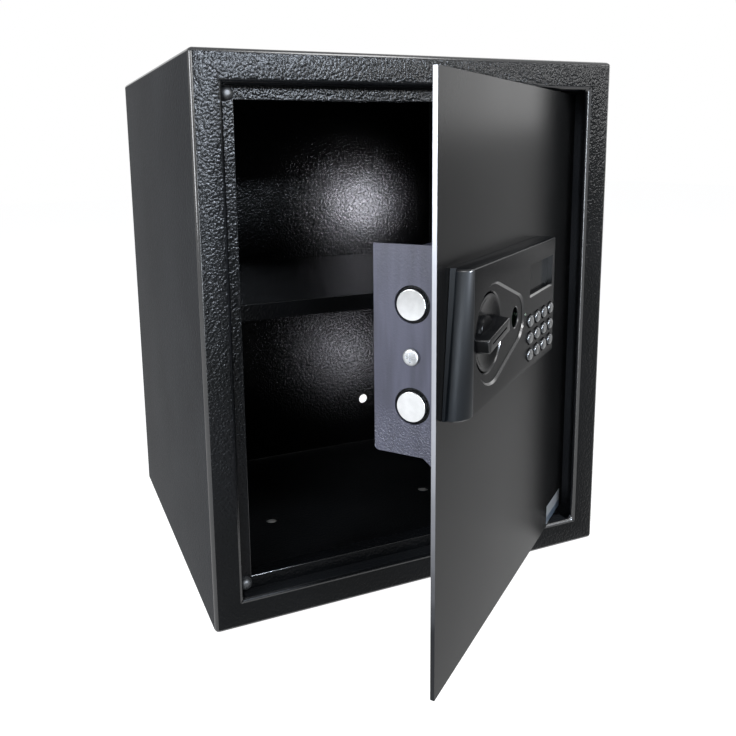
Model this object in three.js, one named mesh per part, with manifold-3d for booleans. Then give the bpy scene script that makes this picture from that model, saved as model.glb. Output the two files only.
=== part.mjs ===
// Electronic home safe with its door standing open, in millimetres, +Z up.
// The front faces -Y and the origin is at the middle of the base.
// Inside the model y is the depth behind the front plane, and for the door's pieces
// it is the depth behind the door's front face, with the door drawn closed.
import * as THREE from 'three';
import { mergeVertices } from 'three/addons/utils/BufferGeometryUtils.js';
import Module from 'manifold-3d';

const wasm = await Module();
wasm.setup();

// Clearances
const fit = 0.3;
const past = 1;

// Body: one folded sheet tube with a flange bent in round the door opening
const bodyWidth = 380;
const bodyDepth = 330;
const bodyHeight = 457;
const sheet = 2;
const cornerRadius = 4.5;
const bend = 4;
const flange = 24.5;
const openingRadius = 5;
const rebateDepth = 14.5;
const hingePocketDepth = 4.5;
const anchorRadius = 6;
const anchorX = 90;
const anchorBackZ = 60;

const openLeft = -bodyWidth / 2 + flange;
const openRight = bodyWidth / 2 - flange;
const openBottom = flange;
const openTop = bodyHeight - flange;
const innerSide = bodyWidth / 2 - sheet;
const pocketLap = 5;
const hingePocketStart = openRight - pocketLap;

// Door stop frame behind the opening
const ledgeWidth = 11;
const ledgeLip = 12;
const ledgeEndInset = 20.5;
const ledgeEnd = openRight - ledgeEndInset;

// Rubber bumpers on the stop frame
const bumperRadius = 5.25;
const bumperHeight = 5;
const bumperStem = 1.9;
const bumperInset = 5.5;
const bumperLowZ = openBottom + 6.5;

// Shelf and its rails
const shelfTop = bodyHeight / 2 + 25;
const shelfSheet = 1.5;
const shelfFront = 70;
const shelfBack = bodyDepth - 8;
const shelfSideGap = 5;
const shelfHalfWidth = innerSide - shelfSideGap;
const shelfLip = 14.5;
const railLeg = 15;
const railFront = 85;
const railBack = bodyDepth - 30;

// Hinges
const pivotInset = 31.5;
const pivotX = openRight - pivotInset;
const pivotDepth = 36;
const openAngle = 37.25;
const hingeHalfWidth = 14;
const hingePlate = 3;
const hingePlateBottom = bodyHeight - 41;
const hingePlateFront = 24;
const hingePlateBack = 50;
const pinRadius = 4;
const pinHole = 4.15;
const pinHead = 6;
const pinLength = 12;
const washerRadius = 8;
const washerGap = 0.15;
const washerThickness = 1;
const armLength = 36;
const armBottom = hingePlateBottom - armLength;

// Door
const doorGap = 2.5;
const doorRecess = 6;
const doorThickness = 3;
const doorLeft = openLeft + doorGap;
const doorRight = openRight - doorGap;
const doorBottom = openBottom + doorGap;
const doorTop = openTop - doorGap;

// Cover of the bolt work on the door's inner side
const lockMiddle = bodyHeight / 2 + 28.5;
const housingInset = 11;
const housingLength = 192;
const housingHalfHeight = 68.5;
const housingLeft = doorLeft + housingInset;
const housingRight = housingLeft + housingLength;
const housingBottom = lockMiddle - housingHalfHeight;
const housingTop = lockMiddle + housingHalfHeight;
const housingBack = 48;
const housingSheet = 1.5;
const housingCorner = 3;
const flangeRise = 10;
const coverTop = housingTop - flangeRise;
const reliefFront = 5.5;
const reliefWidth = 3;
const tabWidth = 20;
const tabHeight = 10.5;
const gussetDepth = 17;
const tabTopX = housingLeft + 52;
const boltNotch = [lockMiddle - 57, lockMiddle + 53];

// Bolts and their guide
const boltRadius = 10;
const boltDepth = 21;
const boltUpperZ = lockMiddle + 31;
const boltLowerZ = lockMiddle - 35;
const boltTip = housingLeft - 2;
const boltEnd = housingLeft + 57.7;
const boltHole = 12.25;
const guideHole = boltRadius + fit;
const guideSheet = 2;
const guideFrontX = housingLeft + housingSheet + fit;
const guideRearX = housingLeft + 33;
const guideBottom = lockMiddle - 51;
const guideTop = lockMiddle + 47;
const guideBack = 36;
const screwHeadRadius = 5.65;
const screwHeadHeight = 1.7;
const screwZ = lockMiddle - 2.7;
const screwDepth = 21.5;

// Carrier that draws both bolts
const carrierFront = 7.5;
const carrierBack = 9.5;
const carrierLeft = housingLeft + 28;
const carrierRight = housingLeft + 61;
const carrierBottom = lockMiddle - 49;
const carrierTop = lockMiddle + 45;
const lugThickness = 3;
const tailRight = housingLeft + 94;
const tailTop = lockMiddle - 4;
const tailBottom = lockMiddle - 17;
const rampRise = 5;
const boltTravel = 18;

// Lock panel: p is a share of its length from its left end, and q runs from its lower edge
const panelLeft = housingLeft;
const panelLength = 202;
const panelBottom = lockMiddle - 41;
const panelHeight = 95;
const panelThickness = 15;
const panelWall = 2.5;
const panelChamfer = 0.9;
const panelRight = panelLeft + panelLength;
const panelTop = panelBottom + panelHeight;
const atP = (share) => panelLeft + share * panelLength;
const atQ = (q) => panelBottom + q;

// The panel's free end is a rounded nose, whose reach is a share of its length at each end
const noseLength = 13;
const noseDepth = 11;
const noseTopShare = 0.3;
const noseBottomShare = 1.2;
const noseStart = panelLeft + noseLength;

// Knob in its dish
const knobShare = 43.5 / 202;
const knobQ = 48.5;
const knobX = atP(knobShare);
const knobZ = atQ(knobQ);
const dishRadius = 26.2;
const dishRim = 28.4;
const dishChamfer = 2.8;
const dishFloor = 6.8;
const dishWall = 2;
const knobDisc = 25.7;
const knobRim = 1.4;
const knobBowl = 5.2;
const hubRadius = 11.2;
const hubBelowFace = 2;
const grooveLength = 28;
const grooveWidth = 1.3;
const knobBarLength = 42;
const knobBarHeight = 9;
const knobProud = 7.5;
const knobTilt = 8;
const shaftRadius = 3;
const camRadius = 16;
const camFront = 4;
const camBack = 7;
const camPinCircle = boltTravel / Math.SQRT2;
const camPinRadius = 2;

// Shallow drop-shaped recess round the knob and the keyhole
const dropX = atP(50 / 202);
const dropZ = atQ(46.5);
const dropBig = 34.5;
const dropSmall = 18.5;
const dropDepth = 1.2;
const dropBevel = 1.6;
const dropStart = noseStart + 5;

// Override lock
const keyholeShare = 100 / 202;
const keyholeQ = 47.5;
const keyX = atP(keyholeShare);
const keyZ = atQ(keyholeQ);
const keyholeRadius = 7.5;
const cylinderRadius = 7;
const cylinderFront = -3;
const cylinderBack = 20;
const plugRadius = 4.7;
const leverLength = 20;

// Display and light
const displayX = [atP(131.5 / 202), atP(194 / 202)];
const displayQ = [57.3, 81];
const displayDepth = 4.4;
const displayFrame = 1.5;
const lightShare = 121 / 202;
const lightQ = 45.4;
const lightX = atP(lightShare);
const lightZ = atQ(lightQ);
const lightRadius = 1.25;

// Keys
const keyColumns = 4;
const keyRows = 3;
const keyFirstX = atP(133 / 202);
const keyFirstQ = 38.4;
const keyPitchX = panelLength * 18.5 / 202;
const keyPitchQ = 13.1;
const keyHalfWidth = 6;
const keyHalfHeight = 4.75;
const keyProud = 2.2;
const keyGap = 0.7;
const keyBack = -7.6;

// Circuit board
const boardFront = -6;
const boardBack = -4.4;
const boardX = [atP(114 / 202), panelRight - 2 * panelWall];
const boardQ = [3.5, 84];

// Battery box, cells and cover
const cellRadius = 7.25;
const cellLength = 50.5;
const cellPitch = 15;
const cellCount = 4;
const cellDepth = 38.2;
const cellMiddleX = housingRight - 44;
const cellMiddleZ = lockMiddle - 1.25;
const trayWall = 1.5;
const trayRim = 3;
const trayFloor = 29;
const coverThickness = 2;
const coverLap = 5;

// Code-set button in its well beside the cells
const buttonX = cellMiddleX - 45;
const buttonZ = lockMiddle - 1;
const buttonRadius = 3;

// Solenoid and plunger
const solenoidX = housingLeft + 74;
const solenoidZ = [lockMiddle - 52, lockMiddle - 28];
const solenoidHalf = 10;
const plungerRadius = 2.5;
const plungerDepth = 8.5;

// Colours of the finishes
const powderBlack = 0x2b2d30;
const satinBlack = 0x34363a;
const interiorBlack = 0x17181a;
const plasticBlack = 0x2c2e31;
const chromeGrey = 0xd8dadc;
const zincGrey = 0xa6a8a8;
const rubberGrey = 0x3a3b3d;

// Directions in which a drawn outline is extruded
const axisX = new THREE.Vector3(1, 0, 0);
const axisY = new THREE.Vector3(0, 1, 0);
const axisZ = new THREE.Vector3(0, 0, 1);
const frontView = new THREE.Matrix4().makeBasis(axisX, axisZ, axisY.clone().negate());
const sideView = new THREE.Matrix4().makeBasis(axisY, axisZ, axisX);

function solidOf(geometry) {
  const bare = geometry.index ? geometry.toNonIndexed() : geometry.clone();
  bare.deleteAttribute('normal');
  bare.deleteAttribute('uv');
  const merged = mergeVertices(bare, 1e-4);
  return new wasm.Manifold(new wasm.Mesh({
    numProp: 3,
    vertProperties: new Float32Array(merged.attributes.position.array),
    triVerts: new Uint32Array(merged.index.array),
  }));
}

function geometryOf(solid) {
  const mesh = solid.getMesh();
  const geometry = new THREE.BufferGeometry();
  geometry.setAttribute('position', new THREE.BufferAttribute(mesh.vertProperties, 3));
  geometry.setIndex(new THREE.BufferAttribute(mesh.triVerts, 1));
  geometry.computeVertexNormals();
  return geometry;
}

function block(x0, x1, y0, y1, z0, z1) {
  const geometry = new THREE.BoxGeometry(x1 - x0, y1 - y0, z1 - z0);
  geometry.translate((x0 + x1) / 2, (y0 + y1) / 2, (z0 + z1) / 2);
  return solidOf(geometry);
}

// A rod along y at x and z
function rodY(x, z, radius, y0, y1, sides = 16) {
  const geometry = new THREE.CylinderGeometry(radius, radius, y1 - y0, sides);
  geometry.translate(x, (y0 + y1) / 2, z);
  return solidOf(geometry);
}

// A rod along x at y and z
function rodX(y, z, radius, x0, x1, sides = 16) {
  const geometry = new THREE.CylinderGeometry(radius, radius, x1 - x0, sides);
  geometry.rotateZ(Math.PI / 2);
  geometry.translate((x0 + x1) / 2, y, z);
  return solidOf(geometry);
}

// A rod along z at x and y
function rodZ(x, y, radius, z0, z1, sides = 16) {
  const geometry = new THREE.CylinderGeometry(radius, radius, z1 - z0, sides);
  geometry.rotateX(Math.PI / 2);
  geometry.translate(x, y, (z0 + z1) / 2);
  return solidOf(geometry);
}

// A turned piece whose profile gives radius and height, with its axis along +Y
function turnedY(x, z, profile, sides = 16) {
  const points = profile.map(([radius, y]) => new THREE.Vector2(radius, y));
  const geometry = new THREE.LatheGeometry(points, sides);
  geometry.translate(x, 0, z);
  return solidOf(geometry);
}

function outline(points) {
  return new THREE.Shape(points.map(([u, v]) => new THREE.Vector2(u, v)));
}

function roundedOutline(u0, u1, v0, v1, radius) {
  const shape = new THREE.Shape();
  shape.absarc(u1 - radius, v0 + radius, radius, -Math.PI / 2, 0);
  shape.absarc(u1 - radius, v1 - radius, radius, 0, Math.PI / 2);
  shape.absarc(u0 + radius, v1 - radius, radius, Math.PI / 2, Math.PI);
  shape.absarc(u0 + radius, v0 + radius, radius, Math.PI, Math.PI * 1.5);
  return shape;
}

// Drawn in x and z as seen from the front, from depth y0 to y1
function frontSlab(shape, y0, y1, bevel = {}, curveSegments = 3) {
  const settings = { depth: y1 - y0, bevelEnabled: false, curveSegments, ...bevel };
  const geometry = new THREE.ExtrudeGeometry(shape, settings);
  geometry.applyMatrix4(frontView);
  geometry.translate(0, y1, 0);
  return solidOf(geometry);
}

// Drawn in y and z, from x0 to x1
function sideSlab(shape, x0, x1, curveSegments = 6) {
  const settings = { depth: x1 - x0, bevelEnabled: false, curveSegments };
  const geometry = new THREE.ExtrudeGeometry(shape, settings);
  geometry.applyMatrix4(sideView);
  geometry.translate(x0, 0, 0);
  return solidOf(geometry);
}

// Drawn in x and y, from z0 to z1
function planSlab(shape, z0, z1, curveSegments = 6) {
  const settings = { depth: z1 - z0, bevelEnabled: false, curveSegments };
  const geometry = new THREE.ExtrudeGeometry(shape, settings);
  geometry.translate(0, 0, z0);
  return solidOf(geometry);
}

// Upper and lower hinge pieces are mirror images about the body's mid height
function mirrored(solid) {
  return solid.mirror([0, 0, 1]).translate([0, 0, bodyHeight]);
}

function place(group, name, solid, colour, roughness, metalness) {
  const material = new THREE.MeshStandardMaterial({ color: colour, roughness, metalness });
  const mesh = new THREE.Mesh(geometryOf(solid), material);
  mesh.name = name;
  group.add(mesh);
  return mesh;
}

// The body

function openingOutline(grow) {
  return roundedOutline(openLeft - grow, openRight + grow, openBottom - grow, openTop + grow,
    openingRadius + grow);
}

function bendSettings(radius, sign) {
  return {
    bevelEnabled: true,
    bevelThickness: radius,
    bevelSize: sign * radius,
    bevelOffset: -sign * radius,
    bevelSegments: 3,
  };
}

function bodyShell() {
  const half = bodyWidth / 2;
  const outer = frontSlab(roundedOutline(-half, half, 0, bodyHeight, cornerRadius),
    bend, bodyDepth + bend, bendSettings(bend, 1));
  const behind = block(-half - past, half + past, bodyDepth, bodyDepth + 3 * bend,
    -past, bodyHeight + past);
  const cavity = frontSlab(roundedOutline(-innerSide, innerSide, sheet, bodyHeight - sheet,
    cornerRadius - sheet), sheet, bodyDepth + past);
  const returnOuter = frontSlab(openingOutline(sheet), bend - fit, rebateDepth + past,
    bendSettings(bend - sheet, -1));
  const returnTrim = block(-half, half, rebateDepth, rebateDepth + 3 * bend, 0, bodyHeight);
  const mouth = frontSlab(openingOutline(0), bend - 0.02, rebateDepth + 2 * bend,
    bendSettings(bend, -1));
  const pocket = block(hingePocketStart, innerSide - past, hingePocketDepth, rebateDepth + past,
    openBottom - 2 * sheet, openTop + 2 * sheet);
  let shell = outer.subtract(behind).subtract(cavity);
  shell = shell.add(returnOuter.subtract(returnTrim)).subtract(mouth).subtract(pocket);
  for (const x of [-anchorX, anchorX]) {
    shell = shell.subtract(rodZ(x, bodyDepth / 2, anchorRadius, -past, sheet + past));
  }
  return shell;
}

function doorStopFrame() {
  const outLeft = openLeft - sheet;
  const outBottom = openBottom - sheet;
  const outTop = openTop + sheet;
  const inLeft = openLeft + ledgeWidth;
  const inBottom = openBottom + ledgeWidth;
  const inTop = openTop - ledgeWidth;
  const back = rebateDepth + sheet;
  const lipBack = back + ledgeLip;
  let frame = frontSlab(outline([
    [ledgeEnd, outBottom], [ledgeEnd, inBottom], [inLeft, inBottom], [inLeft, inTop],
    [ledgeEnd, inTop], [ledgeEnd, outTop], [outLeft, outTop], [outLeft, outBottom],
  ]), rebateDepth, back);
  frame = frame.add(block(inLeft - sheet, ledgeEnd, rebateDepth, lipBack, inTop, inTop + sheet));
  frame = frame.add(block(inLeft - sheet, ledgeEnd, rebateDepth, lipBack, inBottom - sheet, inBottom));
  frame = frame.add(block(inLeft - sheet, inLeft, rebateDepth, lipBack, inBottom, inTop));
  frame = frame.subtract(block(inLeft - 2 * sheet, inLeft + past, back, lipBack + past,
    boltNotch[0], boltNotch[1]));
  for (const z of [bumperLowZ, bodyHeight - bumperLowZ]) {
    frame = frame.subtract(rodY(openLeft + bumperInset, z, bumperStem + fit,
      rebateDepth - past, lipBack + past));
  }
  return frame;
}

function bumper(z) {
  const top = rebateDepth - bumperHeight;
  return turnedY(openLeft + bumperInset, z, [
    [0, top], [bumperRadius * 0.6, top + 0.4], [bumperRadius * 0.9, top + 1.4], [bumperRadius, top + 3],
    [bumperRadius, rebateDepth], [bumperStem, rebateDepth], [bumperStem, rebateDepth + 4], [0, rebateDepth + 4],
  ]);
}

function backPanel() {
  const half = innerSide - fit;
  const low = sheet + fit;
  let panel = frontSlab(roundedOutline(-half, half, low, bodyHeight - low, cornerRadius - sheet),
    bodyDepth - sheet, bodyDepth);
  for (const x of [-anchorX, anchorX]) {
    panel = panel.subtract(rodY(x, anchorBackZ, anchorRadius, bodyDepth - 2 * sheet, bodyDepth + past));
  }
  return panel;
}

// The shelf

function shelf() {
  const top = block(-shelfHalfWidth, shelfHalfWidth, shelfFront, shelfBack, shelfTop - shelfSheet, shelfTop);
  const lip = block(-shelfHalfWidth, shelfHalfWidth, shelfFront, shelfFront + shelfSheet,
    shelfTop - shelfLip, shelfTop);
  return top.add(lip);
}

function shelfRail(side) {
  const top = shelfTop - shelfSheet - fit;
  const wall = innerSide;
  const inner = wall - railLeg;
  const leg = side > 0
    ? block(wall - sheet, wall, railFront, railBack, top - railLeg, top)
    : block(-wall, -wall + sheet, railFront, railBack, top - railLeg, top);
  const ledge = side > 0
    ? block(inner, wall, railFront, railBack, top - sheet, top)
    : block(-wall, -inner, railFront, railBack, top - sheet, top);
  return leg.add(ledge);
}

// The hinges

function hingeBracket() {
  const left = pivotX - hingeHalfWidth;
  const right = pivotX + hingeHalfWidth;
  const top = hingePlateBottom + hingePlate;
  const plate = block(left, right, hingePlateFront, hingePlateBack, hingePlateBottom, top);
  const web = block(left, right, hingePlateBack - hingePlate, hingePlateBack,
    hingePlateBottom, bodyHeight - sheet);
  const hole = rodZ(pivotX, pivotDepth, pinHole, hingePlateBottom - past, top + past);
  return plate.add(web).subtract(hole);
}

function hingeWasher() {
  const top = hingePlateBottom - washerGap;
  const disc = rodZ(pivotX, pivotDepth, washerRadius, top - washerThickness, top);
  return disc.subtract(rodZ(pivotX, pivotDepth, pinHole, top - 2 * washerThickness, top + past));
}

function hingePin() {
  const seat = hingePlateBottom + hingePlate;
  const shank = rodZ(pivotX, pivotDepth, pinRadius, seat - pinLength, seat + past);
  return shank.add(rodZ(pivotX, pivotDepth, pinHead, seat, seat + 2));
}

// Drawn with the door, whose front face is y = 0, so the pivot is nearer by the recess
function hingeArm() {
  const pivotY = pivotDepth - doorRecess;
  const left = pivotX - hingeHalfWidth;
  const right = pivotX + hingeHalfWidth;
  const seat = doorThickness + fit;
  const earTop = hingePlateBottom - 2 * washerGap - washerThickness;
  const base = block(left, right, seat, seat + hingePlate, armBottom, earTop);
  const ear = new THREE.Shape();
  ear.moveTo(left, seat);
  ear.lineTo(right, seat);
  ear.lineTo(pivotX + washerRadius, pivotY);
  ear.absarc(pivotX, pivotY, washerRadius, 0, Math.PI);
  ear.lineTo(left, seat);
  const hole = rodZ(pivotX, pivotY, pinHole, earTop - 2 * hingePlate, earTop + past);
  return base.add(planSlab(ear, earTop - hingePlate, earTop)).subtract(hole);
}

// The door

const tabs = [
  { x: housingLeft + housingSheet + past + tabWidth / 2, side: -1 },
  { x: housingRight - tabWidth, side: -1 },
  { x: tabTopX, side: 1 },
  { x: housingRight - tabWidth, side: 1 },
];

function tabScrewZ(side) {
  return side > 0 ? coverTop + tabHeight / 2 : housingBottom - tabHeight / 2;
}

function doorPlate() {
  let plate = block(doorLeft, doorRight, 0, doorThickness, doorBottom, doorTop);
  const through = (tool) => { plate = plate.subtract(tool); };
  through(rodY(knobX, knobZ, shaftRadius + 2 * fit, -past, doorThickness + past));
  through(rodY(keyX, keyZ, cylinderRadius + fit, -past, doorThickness + past));
  through(block(cableX - cableHoleHalf, cableX + cableHoleHalf, -past, doorThickness + past,
    cableZ - 4, cableZ + 4));
  for (const tab of tabs) {
    through(rodY(tab.x, tabScrewZ(tab.side), 1.8, past, doorThickness + past, 12));
  }
  return plate;
}

function boltHousing() {
  const s = housingSheet;
  const seat = doorThickness + fit;
  const inner = { left: housingLeft + s, right: housingRight - s, low: housingBottom + s, high: coverTop - s };
  // The flange at the free edge rises above the cover's top and has one round corner
  const side = (top) => {
    const shape = new THREE.Shape();
    shape.moveTo(seat, housingBottom);
    shape.lineTo(housingBack - housingCorner, housingBottom);
    shape.absarc(housingBack - housingCorner, housingBottom + housingCorner, housingCorner, -Math.PI / 2, 0);
    shape.lineTo(housingBack, top);
    shape.lineTo(seat, top);
    return shape;
  };
  let cover = sideSlab(side(coverTop), housingLeft, housingRight, 4);
  cover = cover.subtract(block(inner.left, inner.right, -past, housingBack - s, inner.low, inner.high));
  const relief = outline([
    [reliefFront, housingTop + past], [reliefFront + reliefWidth / 2, housingTop - reliefWidth / 2],
    [reliefFront + reliefWidth, housingTop + past],
  ]);
  const flangeTop = sideSlab(side(housingTop), housingLeft, inner.left)
    .subtract(block(housingLeft - past, housingRight, -past, housingBack + past, 0, coverTop - s))
    .subtract(sideSlab(relief, housingLeft - past, inner.left + past));
  cover = cover.add(flangeTop);
  for (const tab of tabs) {
    const low = tab.side > 0 ? coverTop - s : housingBottom - tabHeight;
    const high = tab.side > 0 ? coverTop + tabHeight : housingBottom + s;
    cover = cover.add(block(tab.x - tabWidth / 2, tab.x + tabWidth / 2, seat, seat + s, low, high));
  }
  // Gusset that braces the lower tab beside the flange
  const gusset = outline([
    [seat, housingBottom - tabHeight], [gussetDepth, housingBottom + s / 2], [seat, housingBottom + s / 2],
  ]);
  const gussetX = tabs[0].x - tabWidth / 2;
  cover = cover.add(sideSlab(gusset, gussetX, gussetX + s));
  for (const tab of tabs) {
    cover = cover.subtract(rodY(tab.x, tabScrewZ(tab.side), 1.8, 0, seat + 2 * s, 12));
  }
  for (const z of [boltUpperZ, boltLowerZ]) {
    cover = cover.subtract(rodX(boltDepth, z, boltHole, housingLeft - past, inner.left + fit / 2, 28));
  }
  cover = cover.subtract(rodX(screwDepth, screwZ, 2.4, housingLeft - past, inner.left + fit / 2, 16));
  const tray = trayInside();
  cover = cover.subtract(block(tray.left, tray.right, housingBack - 2 * s, housingBack + past,
    tray.low, tray.high));
  cover = cover.subtract(rodY(buttonX, buttonZ, buttonRadius + fit, housingBack - 2 * s, housingBack + past, 16));
  return cover;
}

function pozidrive(x, z, y0, y1) {
  return block(x - 1.8, x + 1.8, y0, y1, z - 0.4, z + 0.4).add(block(x - 0.4, x + 0.4, y0, y1, z - 1.8, z + 1.8));
}

function housingScrew(tab) {
  const z = tabScrewZ(tab.side);
  const seat = doorThickness + housingSheet + 2 * fit;
  const head = turnedY(tab.x, z, [
    [0, past + fit], [1.5, past + fit], [1.5, seat], [3.5, seat], [3.5, seat + 0.9], [2.2, seat + 2], [0, seat + 2.2],
  ], 16);
  return head.subtract(pozidrive(tab.x, z, seat + 0.9, seat + 3));
}

function guideScrew() {
  const headBack = housingLeft - fit;
  const tip = headBack - screwHeadHeight;
  const points = [
    [0, tip], [screwHeadRadius * 0.62, tip + 0.2], [screwHeadRadius, tip + 0.9], [screwHeadRadius, headBack],
    [2, headBack], [2, guideFrontX + 3 * guideSheet], [0, guideFrontX + 3 * guideSheet],
  ].map(([radius, x]) => new THREE.Vector2(radius, x));
  const geometry = new THREE.LatheGeometry(points, 24);
  geometry.rotateZ(-Math.PI / 2);
  geometry.translate(0, screwDepth, screwZ);
  const cross = block(tip - past, tip + 1.1, screwDepth - 3.2, screwDepth + 3.2, screwZ - 0.6, screwZ + 0.6)
    .add(block(tip - past, tip + 1.1, screwDepth - 0.6, screwDepth + 0.6, screwZ - 3.2, screwZ + 3.2));
  return solidOf(geometry).subtract(cross);
}

// The bolt work

function boltGuide() {
  const seat = doorThickness + fit;
  const rearFront = carrierBack + 0.7;
  let guide = block(guideFrontX, guideFrontX + guideSheet, seat, guideBack, guideBottom, guideTop);
  guide = guide.add(block(guideRearX, guideRearX + guideSheet, rearFront, guideBack, guideBottom, guideTop));
  guide = guide.add(block(guideFrontX, guideRearX + guideSheet, guideBack - guideSheet, guideBack,
    guideBottom, guideTop));
  for (const z of [boltUpperZ, boltLowerZ]) {
    guide = guide.subtract(rodX(boltDepth, z, guideHole, guideFrontX - past, guideRearX + 2 * guideSheet, 20));
  }
  const screwHole = rodX(screwDepth, screwZ, 2.4, guideFrontX - past, guideFrontX + 2 * guideSheet, 16);
  return guide.subtract(screwHole);
}

function lockingBolt(z) {
  const points = [
    [0, boltTip], [boltRadius - 0.8, boltTip], [boltRadius, boltTip + 0.8],
    [boltRadius, boltEnd], [0, boltEnd],
  ].map(([radius, x]) => new THREE.Vector2(radius, x));
  const geometry = new THREE.LatheGeometry(points, 32);
  geometry.rotateZ(-Math.PI / 2);
  geometry.translate(0, boltDepth, z);
  return solidOf(geometry);
}

function boltCarrier() {
  const rampStart = solenoidX - plungerRadius - 0.5;
  const plate = outline([
    [carrierLeft, carrierBottom], [carrierRight, carrierBottom], [carrierRight, tailBottom],
    [rampStart, tailBottom], [rampStart + boltTravel, tailBottom + rampRise],
    [tailRight, tailBottom + rampRise], [tailRight, tailTop], [carrierRight, tailTop],
    [carrierRight, carrierTop], [carrierLeft, carrierTop],
  ]);
  let carrier = frontSlab(plate, carrierFront, carrierBack);
  for (const z of [boltUpperZ, boltLowerZ]) {
    carrier = carrier.add(block(carrierRight - lugThickness, carrierRight, carrierFront,
      boltDepth + boltRadius, z - boltRadius, z + boltRadius));
  }
  const pinX = knobX + camPinCircle * Math.SQRT1_2;
  const slotLow = knobZ + camPinCircle * Math.SQRT1_2 - camPinRadius - 0.7;
  const slotHigh = knobZ + camPinCircle + camPinRadius + 0.7;
  const slotHalf = camPinRadius + 0.65;
  return carrier.subtract(block(pinX - slotHalf, pinX + slotHalf, carrierFront - past, carrierBack + past,
    slotLow, slotHigh));
}

function knobShaft() {
  const front = -panelThickness - knobProud + 3;
  const rod = rodY(knobX, knobZ, shaftRadius, front, camFront + past);
  const cam = rodY(knobX, knobZ, camRadius, camFront, camBack, 32);
  const offset = camPinCircle * Math.SQRT1_2;
  const pin = rodY(knobX + offset, knobZ + offset, camPinRadius, camBack - past, carrierBack - fit, 16);
  return rod.add(cam).add(pin);
}

function knob() {
  const face = -panelThickness;
  const front = face - knobProud;
  const rim = face + knobRim;
  const bowl = face + knobBowl;
  const back = face + dishFloor - fit;
  const disc = turnedY(knobX, knobZ, [
    [0, bowl], [knobDisc * 0.5, bowl - 0.4], [knobDisc * 0.8, bowl - 1.9], [knobDisc * 0.95, rim],
    [knobDisc, rim], [knobDisc, back], [0, back],
  ], 32);
  const halfLength = knobBarLength / 2;
  const halfHeight = knobBarHeight / 2;
  const edge = 0.8;
  const bar = frontSlab(roundedOutline(-halfLength, halfLength, -halfHeight, halfHeight, 1.6),
    front + edge, bowl + past - edge, {
      bevelEnabled: true, bevelThickness: edge, bevelSize: edge, bevelOffset: -edge, bevelSegments: 2,
    }, 2);
  const groove = block(-grooveLength / 2, grooveLength / 2, front - past, front + 0.6,
    -grooveWidth / 2, grooveWidth / 2);
  const turned = bar.subtract(groove).rotate([0, -knobTilt, 0]).translate([knobX, 0, knobZ]);
  const hub = turnedY(knobX, knobZ, [
    [0, face + hubBelowFace], [hubRadius - 0.5, face + hubBelowFace], [hubRadius, face + hubBelowFace + 0.5],
    [hubRadius + 0.6, bowl + past], [0, bowl + past],
  ], 28);
  const bore = rodY(knobX, knobZ, shaftRadius + fit, front + 3 - fit, 0);
  return disc.add(hub).add(turned).subtract(bore);
}

// The lock panel

function panelBlock(inset, back) {
  const start = noseStart + inset;
  const right = panelRight - inset;
  const face = -panelThickness + inset;
  const plan = new THREE.Shape();
  plan.moveTo(start - noseLength, back);
  plan.absellipse(start, face + noseDepth, noseLength, noseDepth, Math.PI, Math.PI * 1.5);
  plan.lineTo(right - panelChamfer, face);
  plan.lineTo(right, face + panelChamfer);
  plan.lineTo(right, back);
  const low = panelBottom + inset;
  const high = panelTop - inset;
  const side = outline([
    [back, low], [back, high], [face + panelChamfer, high], [face, high - panelChamfer],
    [face, low + panelChamfer], [face + panelChamfer, low],
  ]);
  // The nose is stretched towards the bottom and shortened towards the top
  const leaning = planSlab(plan, low, high, 6).warp((point) => {
    const reach = start - point[0];
    if (reach > 0) {
      const height = (point[2] - panelBottom) / panelHeight;
      point[0] = start - reach * (noseBottomShare + height * (noseTopShare - noseBottomShare));
    }
  });
  return leaning.intersect(sideSlab(side, start - 2 * noseLength, right));
}

// Two circles joined by their outer tangents
function dropOutline() {
  const lean = Math.acos((dropBig - dropSmall) / (keyX - dropX));
  const shape = new THREE.Shape();
  shape.absarc(dropX, dropZ, dropBig, lean, Math.PI * 2 - lean);
  shape.absarc(keyX, dropZ, dropSmall, -lean, lean);
  return shape;
}

function keyCentres() {
  const centres = [];
  for (let row = 0; row < keyRows; row += 1) {
    for (let column = 0; column < keyColumns; column += 1) {
      centres.push([keyFirstX + column * keyPitchX, atQ(keyFirstQ - row * keyPitchQ)]);
    }
  }
  return centres;
}

function keyOutline(x, z, grow) {
  const shape = new THREE.Shape();
  shape.absellipse(x, z, keyHalfWidth + grow, keyHalfHeight + grow, 0, Math.PI * 2);
  return shape;
}

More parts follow.
